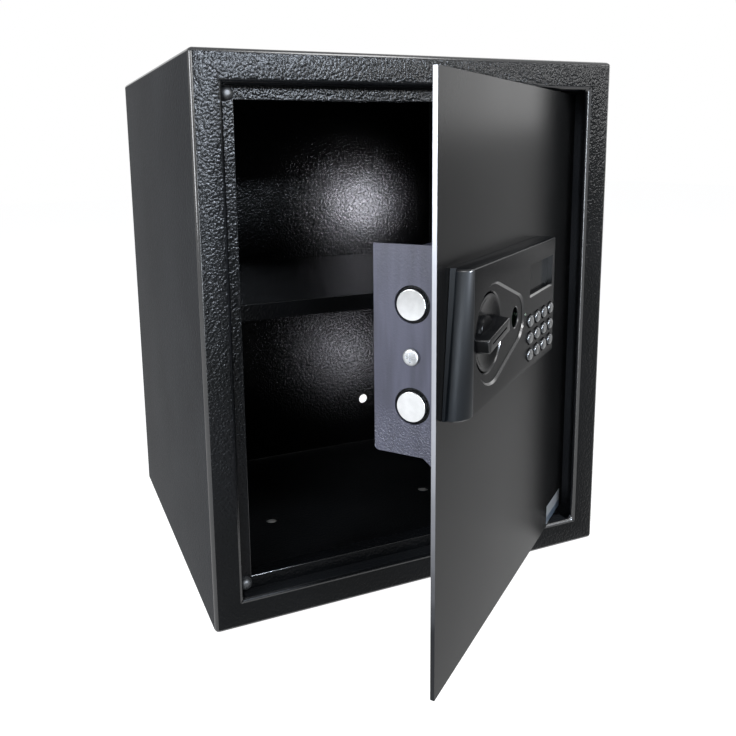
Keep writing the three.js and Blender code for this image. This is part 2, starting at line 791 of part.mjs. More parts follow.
function lockPanel() {
  const face = -panelThickness;
  const wallBack = face + panelWall;
  let panel = panelBlock(0, -fit).subtract(panelBlock(panelWall, past));
  // Boss behind the dish and frame behind the display
  panel = panel.add(rodY(knobX, knobZ, dishRim, wallBack - past, face + dishFloor + dishWall, 32));
  panel = panel.add(block(displayX[0] - displayFrame, displayX[1] + displayFrame, wallBack - past,
    face + displayDepth + 1.4, atQ(displayQ[0] - displayFrame), atQ(displayQ[1] + displayFrame)));
  // The drop-shaped recess stops where the nose curves away
  const recess = frontSlab(dropOutline(), face - 2 * dropDepth, face, {
    bevelEnabled: true, bevelThickness: dropDepth, bevelSize: dropBevel, bevelOffset: -dropBevel,
    bevelSegments: 1,
  }, 12);
  panel = panel.subtract(recess.intersect(block(dropStart, panelRight, face - past,
    face + 2 * dropDepth, panelBottom, panelTop)));
  const dish = turnedY(knobX, knobZ, [
    [0, face - 2], [dishRim + 2, face - 2], [dishRim, face], [dishRadius + 0.2, face + dishChamfer],
    [dishRadius + 0.2, face + dishFloor], [0, face + dishFloor],
  ], 32);
  panel = panel.subtract(dish);
  panel = panel.subtract(rodY(knobX, knobZ, shaftRadius + 2 * fit, face, past));
  panel = panel.subtract(rodY(keyX, keyZ, keyholeRadius, face - 2, past, 24));
  panel = panel.subtract(rodY(lightX, lightZ, lightRadius + fit, face - past, past, 12));
  panel = panel.subtract(block(displayX[0], displayX[1], face - past, past,
    atQ(displayQ[0]), atQ(displayQ[1])));
  for (const [x, z] of keyCentres()) {
    panel = panel.subtract(frontSlab(keyOutline(x, z, keyGap), face - past, wallBack + past, {}, 6));
  }
  return panel;
}

function panelKey([x, z]) {
  const edge = 1.4;
  return frontSlab(keyOutline(x, z, 0), -panelThickness - keyProud + edge, keyBack - edge, {
    bevelEnabled: true, bevelThickness: edge, bevelSize: edge, bevelOffset: -edge, bevelSegments: 1,
  }, 6);
}

function displayWindow() {
  const back = -panelThickness + displayDepth + 1.2;
  return block(displayX[0] + fit, displayX[1] - fit, back - 1.2, back,
    atQ(displayQ[0]) + fit, atQ(displayQ[1]) - fit);
}

function displayModule() {
  const front = -panelThickness + displayDepth + 1.2 + fit;
  return block(displayX[0] + 2, displayX[1] - 2, front, boardFront - fit,
    atQ(displayQ[0]) + 2, atQ(displayQ[1]) - 2);
}

function statusLight() {
  const face = -panelThickness;
  return turnedY(lightX, lightZ, [
    [0, face - 0.5], [lightRadius * 0.7, face - 0.3], [lightRadius, face + 0.3],
    [lightRadius, boardFront - fit], [0, boardFront - fit],
  ], 12);
}

function keypadBoard() {
  return block(boardX[0], boardX[1], boardFront, boardBack, atQ(boardQ[0]), atQ(boardQ[1]));
}

// The override lock

function lockCylinder() {
  const barrel = rodY(keyX, keyZ, cylinderRadius, cylinderFront, cylinderBack, 32);
  const bore = rodY(keyX, keyZ, plugRadius + fit, cylinderFront - past, cylinderBack + past, 24);
  const shoulder = rodY(keyX, keyZ, cylinderRadius + 3, doorThickness + fit, doorThickness + 4, 6);
  return barrel.add(shoulder).subtract(bore);
}

function cylinderPlug() {
  const plug = rodY(keyX, keyZ, plugRadius, cylinderFront, cylinderBack + fit, 24);
  const tail = block(keyX - 2.5, keyX + 2.5, cylinderBack - past, cylinderBack + 3.2, keyZ - 2.5, keyZ + 2.5);
  const slot = block(keyX - 0.7, keyX + 0.7, cylinderFront - past, cylinderFront + 14, keyZ - 3.6, keyZ + 3.6);
  return plug.add(tail).subtract(slot);
}

function overrideLever() {
  const front = cylinderBack + 2 * fit;
  const shape = new THREE.Shape();
  shape.absarc(keyX, keyZ, 6, 0, Math.PI);
  shape.lineTo(keyX - 4, keyZ - leverLength);
  shape.lineTo(keyX + 4, keyZ - leverLength);
  const hole = block(keyX - 2.8, keyX + 2.8, front - past, front + 3, keyZ - 2.8, keyZ + 2.8);
  return frontSlab(shape, front, front + 2).subtract(hole);
}

// The solenoid

function solenoid() {
  const seat = doorThickness + fit;
  const back = 2 * plungerDepth - seat;
  const body = block(solenoidX - solenoidHalf, solenoidX + solenoidHalf, seat, back, solenoidZ[0], solenoidZ[1]);
  return body.subtract(rodZ(solenoidX, plungerDepth, plungerRadius + fit, solenoidZ[0] + 5, solenoidZ[1] + past, 16));
}

function solenoidPlunger() {
  return rodZ(solenoidX, plungerDepth, plungerRadius, solenoidZ[0] + 6, tailBottom - 0.5, 16);
}

// The battery box

function trayInside() {
  const halfWidth = cellCount * cellPitch / 2 + 0.5;
  const halfHeight = cellLength / 2 + 1;
  return {
    left: cellMiddleX - halfWidth,
    right: cellMiddleX + halfWidth,
    low: cellMiddleZ - halfHeight,
    high: cellMiddleZ + halfHeight,
  };
}

function batteryBox() {
  const inside = trayInside();
  const rimBack = housingBack - housingSheet - fit;
  const grow = (by, y0, y1) => block(inside.left - by, inside.right + by, y0, y1, inside.low - by, inside.high + by);
  let tray = grow(trayWall, trayFloor, rimBack).add(grow(trayRim, rimBack - trayWall, rimBack));
  tray = tray.subtract(grow(0, trayFloor + trayWall, rimBack + past));
  const well = block(buttonX - 6, inside.left - trayWall / 2, trayFloor + 4, rimBack, buttonZ - 6, buttonZ + 6);
  tray = tray.add(well);
  return tray.subtract(rodY(buttonX, buttonZ, buttonRadius + fit, trayFloor + 5.5, rimBack + past, 16));
}

function batteryCell(index) {
  const x = cellMiddleX + (index - (cellCount - 1) / 2) * cellPitch;
  const up = index % 2 === 0 ? 1 : -1;
  const half = cellLength / 2;
  const can = rodZ(x, cellDepth, cellRadius, cellMiddleZ - half + (up > 0 ? 0 : 1.5),
    cellMiddleZ + half - (up > 0 ? 1.5 : 0), 20);
  const nub = up > 0
    ? rodZ(x, cellDepth, 2.7, cellMiddleZ + half - 3, cellMiddleZ + half, 12)
    : rodZ(x, cellDepth, 2.7, cellMiddleZ - half, cellMiddleZ - half + 3, 12);
  return can.add(nub);
}

function batteryCover() {
  const inside = trayInside();
  const front = housingBack + fit;
  let cover = block(inside.left - coverLap, inside.right + coverLap, front, front + coverThickness,
    inside.low - coverLap, inside.high + coverLap);
  const gripX = inside.right - 4;
  for (let rib = 0; rib < 3; rib += 1) {
    const x = gripX - rib * 4;
    cover = cover.add(block(x, x + 1.6, front + coverThickness - past, front + coverThickness + 1,
      cellMiddleZ - 12, cellMiddleZ + 12));
  }
  return cover;
}

function codeButton() {
  return rodY(buttonX, buttonZ, buttonRadius, trayFloor + 8, housingBack + 1.2, 16);
}

// Flat cable from the board through the door to the battery box
const cableX = cellMiddleX + 4;
const cableZ = lockMiddle - 21;
const cableHalfWidth = 4;
const cableHoleHalf = 6;

function signalCable() {
  const start = boardBack + fit;
  const end = trayFloor - fit;
  const drop = 12;
  const strip = outline([
    [start, cableZ - 0.5], [10, cableZ - 0.5], [20, cableZ + drop - 0.5], [end, cableZ + drop - 0.5],
    [end, cableZ + drop + 0.5], [19.5, cableZ + drop + 0.5], [9.5, cableZ + 0.5], [start, cableZ + 0.5],
  ]);
  return sideSlab(strip, cableX - cableHalfWidth, cableX + cableHalfWidth);
}

// Assembly

const safe = new THREE.Group();
const cabinet = new THREE.Group();
cabinet.position.y = -bodyDepth / 2;
safe.add(cabinet);

place(cabinet, 'body_shell', bodyShell(), powderBlack, 0.5, 0.3);
place(cabinet, 'door_stop_frame', doorStopFrame(), powderBlack, 0.45, 0.3);
place(cabinet, 'back_panel', backPanel(), interiorBlack, 0.55, 0.3);
place(cabinet, 'bumper_upper', bumper(bodyHeight - bumperLowZ), rubberGrey, 0.7, 0);
place(cabinet, 'bumper_lower', bumper(bumperLowZ), rubberGrey, 0.7, 0);
place(cabinet, 'shelf', shelf(), interiorBlack, 0.5, 0.3);
place(cabinet, 'shelf_rail_left', shelfRail(-1), interiorBlack, 0.5, 0.3);
place(cabinet, 'shelf_rail_right', shelfRail(1), interiorBlack, 0.5, 0.3);
place(cabinet, 'hinge_bracket_upper', hingeBracket(), powderBlack, 0.5, 0.3);
place(cabinet, 'hinge_bracket_lower', mirrored(hingeBracket()), powderBlack, 0.5, 0.3);
place(cabinet, 'hinge_washer_upper', hingeWasher(), zincGrey, 0.4, 0.9);
place(cabinet, 'hinge_washer_lower', mirrored(hingeWasher()), zincGrey, 0.4, 0.9);
place(cabinet, 'hinge_pin_upper', hingePin(), zincGrey, 0.35, 0.9);
place(cabinet, 'hinge_pin_lower', mirrored(hingePin()), zincGrey, 0.35, 0.9);

const hinge = new THREE.Group();
hinge.position.set(pivotX, pivotDepth, 0);
hinge.rotation.z = THREE.MathUtils.degToRad(openAngle);
cabinet.add(hinge);
const door = new THREE.Group();
door.position.set(-pivotX, doorRecess - pivotDepth, 0);
hinge.add(door);

place(door, 'door_plate', doorPlate(), satinBlack, 0.4, 0.4);
place(door, 'hinge_arm_upper', hingeArm(), powderBlack, 0.5, 0.3);
place(door, 'hinge_arm_lower', mirrored(hingeArm()), powderBlack, 0.5, 0.3);
place(door, 'bolt_housing', boltHousing(), 0x5c5d68, 0.45, 0.4);
tabs.forEach((tab, index) => {
  place(door, `housing_screw_${index + 1}`, housingScrew(tab), zincGrey, 0.4, 0.9);
});
place(door, 'guide_screw', guideScrew(), chromeGrey, 0.25, 1);
place(door, 'bolt_guide', boltGuide(), powderBlack, 0.5, 0.3);
place(door, 'bolt_carrier', boltCarrier(), zincGrey, 0.45, 0.8);
place(door, 'locking_bolt_upper', lockingBolt(boltUpperZ), chromeGrey, 0.15, 1);
place(door, 'locking_bolt_lower', lockingBolt(boltLowerZ), chromeGrey, 0.15, 1);
place(door, 'knob_shaft', knobShaft(), zincGrey, 0.45, 0.8);
place(door, 'knob', knob(), plasticBlack, 0.35, 0);
place(door, 'lock_panel', lockPanel(), plasticBlack, 0.45, 0);
place(door, 'display_window', displayWindow(), 0x1a1c1e, 0.1, 0);
place(door, 'display_module', displayModule(), 0x4a4f48, 0.5, 0);
place(door, 'status_light', statusLight(), 0x2f5a3c, 0.3, 0);
place(door, 'keypad_board', keypadBoard(), 0x1f4a2c, 0.6, 0);
keyCentres().forEach((centre, index) => {
  place(door, `key_${index + 1}`, panelKey(centre), chromeGrey, 0.2, 1);
});
place(door, 'lock_cylinder', lockCylinder(), chromeGrey, 0.3, 0.9);
place(door, 'cylinder_plug', cylinderPlug(), 0xb08d4a, 0.35, 0.9);
place(door, 'override_lever', overrideLever(), zincGrey, 0.45, 0.8);
place(door, 'solenoid', solenoid(), zincGrey, 0.5, 0.6);
place(door, 'solenoid_plunger', solenoidPlunger(), chromeGrey, 0.3, 0.9);
place(door, 'battery_box', batteryBox(), plasticBlack, 0.6, 0);
for (let index = 0; index < cellCount; index += 1) {
  place(door, `battery_cell_${index + 1}`, batteryCell(index), 0x4a4d52, 0.4, 0.4);
}
place(door, 'battery_cover', batteryCover(), plasticBlack, 0.55, 0);
place(door, 'code_button', codeButton(), 0x8c1f1b, 0.5, 0);
place(door, 'signal_cable', signalCable(), 0x8a8a88, 0.6, 0);

export default safe;
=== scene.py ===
"""Looks of the electronic home safe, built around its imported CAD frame."""

import math

import bmesh
import bpy
from mathutils import Matrix, Vector


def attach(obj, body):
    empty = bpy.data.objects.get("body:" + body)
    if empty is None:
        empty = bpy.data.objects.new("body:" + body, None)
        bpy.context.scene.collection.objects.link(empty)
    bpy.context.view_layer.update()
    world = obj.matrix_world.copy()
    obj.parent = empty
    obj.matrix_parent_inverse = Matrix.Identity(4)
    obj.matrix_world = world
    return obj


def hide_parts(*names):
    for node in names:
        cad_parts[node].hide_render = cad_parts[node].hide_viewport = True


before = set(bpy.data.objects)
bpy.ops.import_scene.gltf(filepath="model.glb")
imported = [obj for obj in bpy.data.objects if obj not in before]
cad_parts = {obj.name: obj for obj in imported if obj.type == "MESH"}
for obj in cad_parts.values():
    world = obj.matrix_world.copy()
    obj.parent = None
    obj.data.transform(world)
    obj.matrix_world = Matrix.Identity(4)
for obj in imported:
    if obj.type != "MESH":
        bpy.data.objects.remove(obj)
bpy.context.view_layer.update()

# Sizes in millimetres, as in the part's source
BODY_WIDTH = 380
BODY_DEPTH = 330
BODY_HEIGHT = 457
SHEET = 2
BODY_BEND = 4
FLANGE = 24.5
REBATE_DEPTH = 14.5
OPEN_LEFT = -BODY_WIDTH / 2 + FLANGE
OPEN_RIGHT = BODY_WIDTH / 2 - FLANGE
POCKET_START = OPEN_RIGHT - 5
POCKET_DEPTH = 4.5
ANCHOR_RADIUS = 6
ANCHOR_X = 90

# The door's free edge, the cover's left end, and the height of the lock's middle
DOOR_LEFT = OPEN_LEFT + 2.5
HOUSING_LEFT = DOOR_LEFT + 11
LOCK_MIDDLE = BODY_HEIGHT / 2 + 28.5

# Hinge line and the angle at which the door stands
PIVOT_X = OPEN_RIGHT - 31.5
PIVOT_DEPTH = 36
OPEN_ANGLE = 37.25
DOOR_RECESS = 6

# Lock panel
PANEL_LEFT = HOUSING_LEFT
PANEL_LENGTH = 202
PANEL_BOTTOM = LOCK_MIDDLE - 41
PANEL_HEIGHT = 95
PANEL_THICKNESS = 15
PANEL_WALL = 2.5
PANEL_EDGE = 1.8
PANEL_RIGHT = PANEL_LEFT + PANEL_LENGTH
PANEL_TOP = PANEL_BOTTOM + PANEL_HEIGHT
PANEL_FACE = -PANEL_THICKNESS
NOSE_LENGTH = 13
NOSE_DEPTH = 11
NOSE_TOP_SHARE = 0.3
NOSE_BOTTOM_SHARE = 1.19
NOSE_START = PANEL_LEFT + NOSE_LENGTH
KNOB_X = PANEL_LEFT + 43.5
KNOB_Z = PANEL_BOTTOM + 48.5
DROP_X = PANEL_LEFT + 50
DROP_Z = PANEL_BOTTOM + 46.5
DROP_BIG = 34.5
DROP_SMALL = 18.5
DROP_START = NOSE_START + 5
DROP_DEPTH = 1.2
DROP_BEVEL = 1.6
DISH_RADIUS = 26.4
DISH_RIM = 28.4
DISH_CHAMFER = 2.8
DISH_FLOOR = 6.8
DISH_WALL = 2
KEYHOLE_X = PANEL_LEFT + 100
KEYHOLE_Z = PANEL_BOTTOM + 47.5
KEYHOLE_RADIUS = 7.5
LIGHT_X = PANEL_LEFT + 121
LIGHT_Z = PANEL_BOTTOM + 45.4
LIGHT_RADIUS = 1.25
DISPLAY_LEFT = PANEL_LEFT + 131.5
DISPLAY_RIGHT = PANEL_LEFT + 194
DISPLAY_LOW = PANEL_BOTTOM + 57.3
DISPLAY_HIGH = PANEL_BOTTOM + 81
DISPLAY_DEPTH = 4.4
DISPLAY_FRAME = 1.5
DISPLAY_SEAT = 1.4
SHAFT_HOLE = 3.6
SILL = 1.2
BOARD_FRONT = -6
FIT = 0.3
PAST = 1

# Knob
KNOB_DISC = 25.7
KNOB_RIM = 1.4
KNOB_BOWL = 5.2
HUB_RADIUS = 11.2
HUB_DROP = 2
BAR_LENGTH = 46
BAR_SLANT = 2.5
BAR_HEIGHT = 9.6
BAR_DROP = 1.2
BAR_PROUD = 6.5
BAR_TILT = 10
BAR_CORNER = 1.2
BAR_EDGE = 0.7
GROOVE_LENGTH = 28
GROOVE_WIDTH = 1.3
GROOVE_DEPTH = 0.6

# Keys
KEY_COLUMNS = 4
KEY_ROWS = 3
KEY_FIRST_P = 133
KEY_FIRST_Q = 38.4
KEY_PITCH_P = 18.5
KEY_PITCH_Q = 13.1
KEY_HALF_WIDTH = 6
KEY_HALF_HEIGHT = 4.75
KEY_PROUD = 2.2
KEY_BACK = -7.6
KEY_GAP = 0.7
KEY_MARKS = "1234567890*#"
MARK_SIZE = 5.4
MARK_EXTRUDE = 0.12
MARK_SINK = 0.06

# Bolts and guide screw
BOLT_RADIUS = 10
BOLT_DEPTH = 21
BOLT_UPPER_Z = LOCK_MIDDLE + 31
BOLT_LOWER_Z = LOCK_MIDDLE - 35
BOLT_TIP = HOUSING_LEFT - 2
BOLT_END = -94.3
GUIDE_SCREW_RADIUS = 5.65
GUIDE_SCREW_HEIGHT = 1.7
GUIDE_SCREW_Z = 254.3
GUIDE_SCREW_DEPTH = 21.5
GUIDE_SCREW_SHANK = 2
GUIDE_SCREW_LENGTH = 7.8
CROSS_REACH = 3.2
CROSS_WIDTH = 1.3
CROSS_DEPTH = 1.2

# Label
LABEL_LEFT = 106
LABEL_LENGTH = 46
LABEL_LOW = 29
LABEL_HEIGHT = 18
LABEL_THICKNESS = 0.12

# Bumpers
BUMPER_X = OPEN_LEFT + 5.5
BUMPER_LOW_Z = FLANGE + 6.5
BUMPER_RADIUS = 5.25
BUMPER_HEIGHT = 5
BUMPER_STEM = 1.9

# Heights at which a finish changes
CELL_BAND_Z = 268
LABEL_BAND_Z = LABEL_LOW + 7
# The door's free edge is painted shade below the first height and a painted highlight above the second
EDGE_SHADED_Z = 105
EDGE_HIGHLIGHT_Z = 235
COVER_SMOOTH_Z = 222
COVER_ROUGH_Z = 203

# The border between the free edge's painted shade and painted highlight wanders by this much
EDGE_SHADE_WANDER = 60

# Pitch of the flat cable's wires
WIRE_PITCH = 1.27

# A face counts as flat, or as facing an axis, from this share of its normal on
FLAT_SHARE = 0.93
FACING = 0.9

# The nose's faces look up or down by less than this share
NOSE_SLOPE = 0.3

# Slot of the flat faces' finish, where a piece's edges have another
PLAIN = 0

# Camera, solved from the corners of the body: degrees, metres, millimetres and shares of the frame
CAMERA_YAW = 23.068
CAMERA_PITCH = -9.929
CAMERA_ROLL = -0.831
CAMERA_PLACE = (-0.308939, -0.724602, 0.383223)
CAMERA_LENS = 37.625
CAMERA_SHIFT = (0.0286, -0.1132)

# Lamps: name, place, point aimed at, width, height, watts, colour, spread in degrees, card.
# The cards light the front's two upper corners, the free edge, the door's top and the panel, and
# the two inner ones, on the hinge side, give the back wall its pools of light.
WHITE = (1, 1, 1)
COOL = (0.95, 0.97, 1)
COOLER = (0.85, 0.92, 1)
BLUISH = (0.8, 0.88, 1)
VIOLET = (0.9, 0.9, 1)
LAMPS = (
    ("left_softbox", (-1.35, -0.5, 0.64), (-0.1, -0.2, 0.3), 0.4, 0.8, 15, COOL, 180, False),
    ("front_card", (0.13, -1.5, 0.82), (-0.17, -0.165, 0.43), 0.3, 0.2, 80, BLUISH, 180, True),
    ("front_right_card", (1.0, -1.5, 0.74), (0.1, -0.165, 0.44), 0.3, 0.2, 20, WHITE, 180, True),
    ("edge_card", (-0.33, -0.75, 0.25), (-0.06, -0.3, 0.3), 0.08, 0.3, 3.2, COOLER, 180, True),
    ("right_card", (1.08, 0.0, 0.55), (-0.09, -0.3, 0.43), 0.45, 0.25, 1.1, WHITE, 180, True),
    ("panel_card", (1.07, -0.76, 0.78), (0, -0.25, 0.25), 0.35, 0.35, 6, WHITE, 180, True),
    ("key_softbox", (-1.0, -1.5, 1.0), (0, -0.2, 0.25), 0.6, 0.6, 10, WHITE, 180, False),
    ("top_softbox", (0.35, -0.75, 1.3), (0.0, -0.25, 0.35), 0.5, 0.5, 9, WHITE, 180, False),
    ("upper_inner_card", (0.167, -0.014, 0.304), (0.088, 0.163, 0.315), 0.03, 0.03, 0.16, VIOLET, 60, True),
    ("lower_inner_card", (0.163, -0.07, 0.062), (0.065, 0.163, 0.129), 0.04, 0.04, 0.055, VIOLET, 50, True),
)
WORLD_COLOUR = (0.92, 0.95, 1, 1)
WORLD_STRENGTH = 0.13
FLOOR_SIZE = 12
FLOOR_GLOW = 0.93
# Half the size, along each axis, of the patch of floor under the base that doesn't glow
UNDER_BASE = (("X", 0.17), ("Y", 0.15))

METRE = Matrix.Scale(0.001, 4)
IN_CABINET = Matrix.Translation((0, -BODY_DEPTH / 2, 0))
ON_DOOR = (
    IN_CABINET
    @ Matrix.Translation((PIVOT_X, PIVOT_DEPTH, 0))
    @ Matrix.Rotation(math.radians(OPEN_ANGLE), 4, "Z")
    @ Matrix.Translation((-PIVOT_X, DOOR_RECESS - PIVOT_DEPTH, 0))
)


# Camera, floor and light

def place_camera():
    """The photograph's viewpoint, solved from the corners of the body."""
    yaw, pitch, roll = (math.radians(a) for a in (CAMERA_YAW, CAMERA_PITCH, CAMERA_ROLL))
    forward = Vector((math.sin(yaw) * math.cos(pitch), math.cos(yaw) * math.cos(pitch), math.sin(pitch)))
    right = Vector((math.cos(yaw), -math.sin(yaw), 0))
    up = right.cross(forward)
    side = math.cos(roll) * right + math.sin(roll) * up
    top = -math.sin(roll) * right + math.cos(roll) * up
    camera = bpy.data.objects.new("camera", bpy.data.cameras.new("camera"))
    bpy.context.scene.collection.objects.link(camera)
    turn = Matrix((side, top, -forward)).transposed().to_4x4()
    camera.matrix_world = Matrix.Translation(CAMERA_PLACE) @ turn
    camera.data.sensor_width = 36
    camera.data.lens = CAMERA_LENS
    camera.data.shift_x, camera.data.shift_y = CAMERA_SHIFT
    camera.data.clip_start = 0.01
    bpy.context.scene.camera = camera


def softbox(name, place, aim, width, height, power, colour, spread, card):
    """A soft lamp that faces the point aim; a card only shows as a reflection."""
    lamp = bpy.data.lights.new(name, "AREA")
    lamp.shape = "RECTANGLE"
    lamp.size = width
    lamp.size_y = height
    lamp.energy = power
    lamp.color = colour
    lamp.spread = math.radians(spread)
    holder = bpy.data.objects.new(name, lamp)
    bpy.context.scene.collection.objects.link(holder)
    holder.location = place
    holder.rotation_euler = (Vector(aim) - Vector(place)).to_track_quat("-Z", "Y").to_euler()
    holder.visible_camera = False
    holder.visible_diffuse = not card


def light_scene():
    """The lamps, and a white world that lights the object only faintly."""
    for lamp in LAMPS:
        softbox(*lamp)
    world = bpy.data.worlds.new("studio")
    bpy.context.scene.world = world
    world.use_nodes = True
    tree = world.node_tree
    tree.nodes.clear()
    soft = add_node(tree, "ShaderNodeBackground", {"Color": WORLD_COLOUR, "Strength": WORLD_STRENGTH})
    white = add_node(tree, "ShaderNodeBackground", {"Color": (1, 1, 1, 1), "Strength": 1})
    mixed = add_node(tree, "ShaderNodeMixShader", {0: seeing_rays(tree), 1: soft.outputs[0],
                                                   2: white.outputs[0]})
    add_node(tree, "ShaderNodeOutputWorld", {"Surface": mixed.outputs[0]})
    bpy.context.scene.view_settings.view_transform = "Standard"


def seeing_rays(tree):
    """One for the rays that show the background: the camera's, the reflected and the refracted ones."""
    paths = add_node(tree, "ShaderNodeLightPath")
    seen = add_node(tree, "ShaderNodeMath", {0: paths.outputs["Is Camera Ray"],
                                             1: paths.outputs["Is Glossy Ray"]}, operation="MAXIMUM")
    through = paths.outputs["Is Transmission Ray"]
    return add_node(tree, "ShaderNodeMath", {0: seen.outputs[0], 1: through}, operation="MAXIMUM").outputs[0]


def outside(tree, coordinate, reach):
    """One where the coordinate is further than reach from the middle, otherwise zero."""
    size = add_node(tree, "ShaderNodeMath", {0: coordinate}, operation="ABSOLUTE")
    beyond = add_node(tree, "ShaderNodeMath", {0: size.outputs[0], 1: reach}, operation="GREATER_THAN")
    return beyond.outputs[0]


def lay_floor():
    """A plain pale floor whose own colour reaches white and which keeps the shadow."""
    bpy.ops.object.select_all(action="DESELECT")
    bpy.ops.mesh.primitive_plane_add(size=FLOOR_SIZE, location=(0, 0, -0.0005))
    floor = bpy.context.active_object
    floor.name = "studio_floor"
    paint = bpy.data.materials.new("pale_floor")
    paint.use_nodes = True
    tree = paint.node_tree
    tree.nodes.clear()
    matte = add_node(tree, "ShaderNodeBsdfDiffuse", {"Color": (0.5, 0.5, 0.5, 1)})
    # No glow under the base, where the anchor holes look down on the floor
    place = add_node(tree, "ShaderNodeTexCoord").outputs["Object"]
    spot = add_node(tree, "ShaderNodeSeparateXYZ", {0: place})
    beside = [outside(tree, spot.outputs[axis], reach) for axis, reach in UNDER_BASE]
    clear = add_node(tree, "ShaderNodeMath", {0: beside[0], 1: beside[1]}, operation="MAXIMUM")
    strength = add_node(tree, "ShaderNodeMath", {0: clear.outputs[0], 1: FLOOR_GLOW}, operation="MULTIPLY")
    glow = add_node(tree, "ShaderNodeEmission", {"Color": (1, 1, 1, 1), "Strength": strength.outputs[0]})
    both = add_node(tree, "ShaderNodeAddShader", {0: matte.outputs[0], 1: glow.outputs[0]})
    shown = add_node(tree, "ShaderNodeMixShader", {0: seeing_rays(tree), 1: matte.outputs[0],
                                                   2: both.outputs[0]})
    add_node(tree, "ShaderNodeOutputMaterial", {"Surface": shown.outputs[0]})
    floor.data.materials.append(paint)


# Materials

def add_node(tree, kind, links=None, **settings):
    """Adds a node, gives it its settings, and links or sets its inputs."""
    node = tree.nodes.new(kind)
    for name, value in settings.items():
        setattr(node, name, value)
    for socket, value in (links or {}).items():
        if isinstance(value, bpy.types.NodeSocket):
            tree.links.new(value, node.inputs[socket])
        else:
            node.inputs[socket].default_value = value
    return node


def linear(code):
    """A linear colour from an sRGB hex value such as 2b2d30."""
    channels = [int(code[i:i + 2], 16) / 255 for i in (0, 2, 4)]
    return tuple(c / 12.92 if c <= 0.04045 else ((c + 0.055) / 1.055) ** 2.4 for c in channels) + (1,)


def new_finish(name, **values):
    """A material with one Principled shader, and the object coordinates its patterns use."""
    finish = bpy.data.materials.new(name)
    finish.use_nodes = True
    tree = finish.node_tree
    shader = tree.nodes["Principled BSDF"]
    for socket, value in values.items():
        shader.inputs[socket.replace("_", " ").title().replace("Ior", "IOR")].default_value = value
    place = add_node(tree, "ShaderNodeTexCoord").outputs["Object"]
    return finish, tree, shader, place


def tint(tree, shader, factor, dark, light, low=0.35, high=0.65):
    """Varies the base colour between two sRGB colours by a pattern."""
    ramp = add_node(tree, "ShaderNodeValToRGB", {"Fac": factor})
    ramp.color_ramp.elements[0].position = low
    ramp.color_ramp.elements[0].color = linear(dark)
    ramp.color_ramp.elements[1].position = high
    ramp.color_ramp.elements[1].color = linear(light)
    tree.links.new(ramp.outputs["Color"], shader.inputs["Base Color"])


def mottle(tree, shader, place, size_mm, dark, light, detail=2):
    """Clouds the base colour between two sRGB colours, in blotches about size_mm across."""
    cloud = add_node(tree, "ShaderNodeTexNoise", {
        "Vector": place, "Scale": 1000 / size_mm, "Detail": detail,
    })
    tint(tree, shader, cloud.outputs["Fac"], dark, light)
    return cloud.outputs["Fac"]


def vary_roughness(tree, shader, factor, low, high):
    """Runs the roughness from low to high by a pattern."""
    span = add_node(tree, "ShaderNodeMapRange", {"Value": factor, "To Min": low, "To Max": high})
    tree.links.new(span.outputs["Result"], shader.inputs["Roughness"])


def raise_bumps(tree, shader, height, depth_mm):
    """Relief depth_mm deep, drawn by the shading alone."""
    bump = add_node(tree, "ShaderNodeBump", {
        "Height": height, "Distance": depth_mm / 1000, "Strength": 1.0,
    })
    tree.links.new(bump.outputs["Normal"], shader.inputs["Normal"])


def clouded(name, size_mm, dark, light, detail=2, rough=None, **values):
    """A finish with faint clouds in its colour and, where rough gives a range, in its gloss."""
    finish, tree, shader, place = new_finish(name, **values)
    cloud = mottle(tree, shader, place, size_mm, dark, light, detail)
    if rough:
        vary_roughness(tree, shader, cloud, *rough)
    return finish


def peel_height(tree, place, cell_mm):
    """Rounded, closely packed bumps of textured powder coat, with finer grit between them."""
    warp = add_node(tree, "ShaderNodeTexNoise", {
        "Vector": place, "Scale": 1000 / (cell_mm * 2), "Detail": 1,
    })
    shift = add_node(tree, "ShaderNodeVectorMath", {0: warp.outputs["Color"], "Scale": 0.6 * cell_mm / 1000},
                     operation="SCALE")
    moved = add_node(tree, "ShaderNodeVectorMath", {0: place, 1: shift.outputs[0]}, operation="ADD")
    cells = add_node(tree, "ShaderNodeTexVoronoi", {
        "Vector": moved.outputs[0], "Scale": 1000 / cell_mm, "Smoothness": 0.8,
    }, feature="SMOOTH_F1")
    fine = add_node(tree, "ShaderNodeTexNoise", {
        "Vector": place, "Scale": 1000 / (cell_mm * 0.55), "Detail": 2, "Roughness": 0.6,
    })
    low = add_node(tree, "ShaderNodeMath", {0: cells.outputs["Distance"], 1: -1.0}, operation="MULTIPLY")
    return add_node(tree, "ShaderNodeMath", {0: fine.outputs["Fac"], 1: 0.55, 2: low.outputs[0]},
                    operation="MULTIPLY_ADD").outputs[0]


def textured_powder_coat():
    """Black polyester powder coat with an orange-peel texture, baked on steel."""
    finish, tree, shader, place = new_finish("textured_powder_coat", roughness=0.21, specular_ior_level=0.08)
    mottle(tree, shader, place, 90, "101214", "16181b")
    # The real texture is about 2 mm across
    raise_bumps(tree, shader, peel_height(tree, place, 2), 0.45)
    return finish


def walls_coat_painted_lighter():
    """The same coat on the long side walls, where it flows out flatter and duller, and coloured a shade
    lighter than on the front as painted light.
    """
    finish, tree, shader, place = new_finish("walls_coat_painted_lighter", roughness=0.56, specular_ior_level=0.05)
    # A lighter copy of the front's colour: painted light on the outer walls
    mottle(tree, shader, place, 90, "191b1e", "202225")
    raise_bumps(tree, shader, peel_height(tree, place, 2.2), 0.35)
    return finish


def bend_powder_coat():
    """The coat drawn thin and smooth over the bends, which catch thin bright lines."""
    finish, tree, shader, place = new_finish("smooth_powder_coat", roughness=0.2, specular_ior_level=0.7)
    mottle(tree, shader, place, 90, "101214", "16181b")
    uneven = add_node(tree, "ShaderNodeTexNoise", {"Vector": place, "Scale": 1000 / 3, "Detail": 2})
    raise_bumps(tree, shader, uneven.outputs["Fac"], 0.06)
    return finish


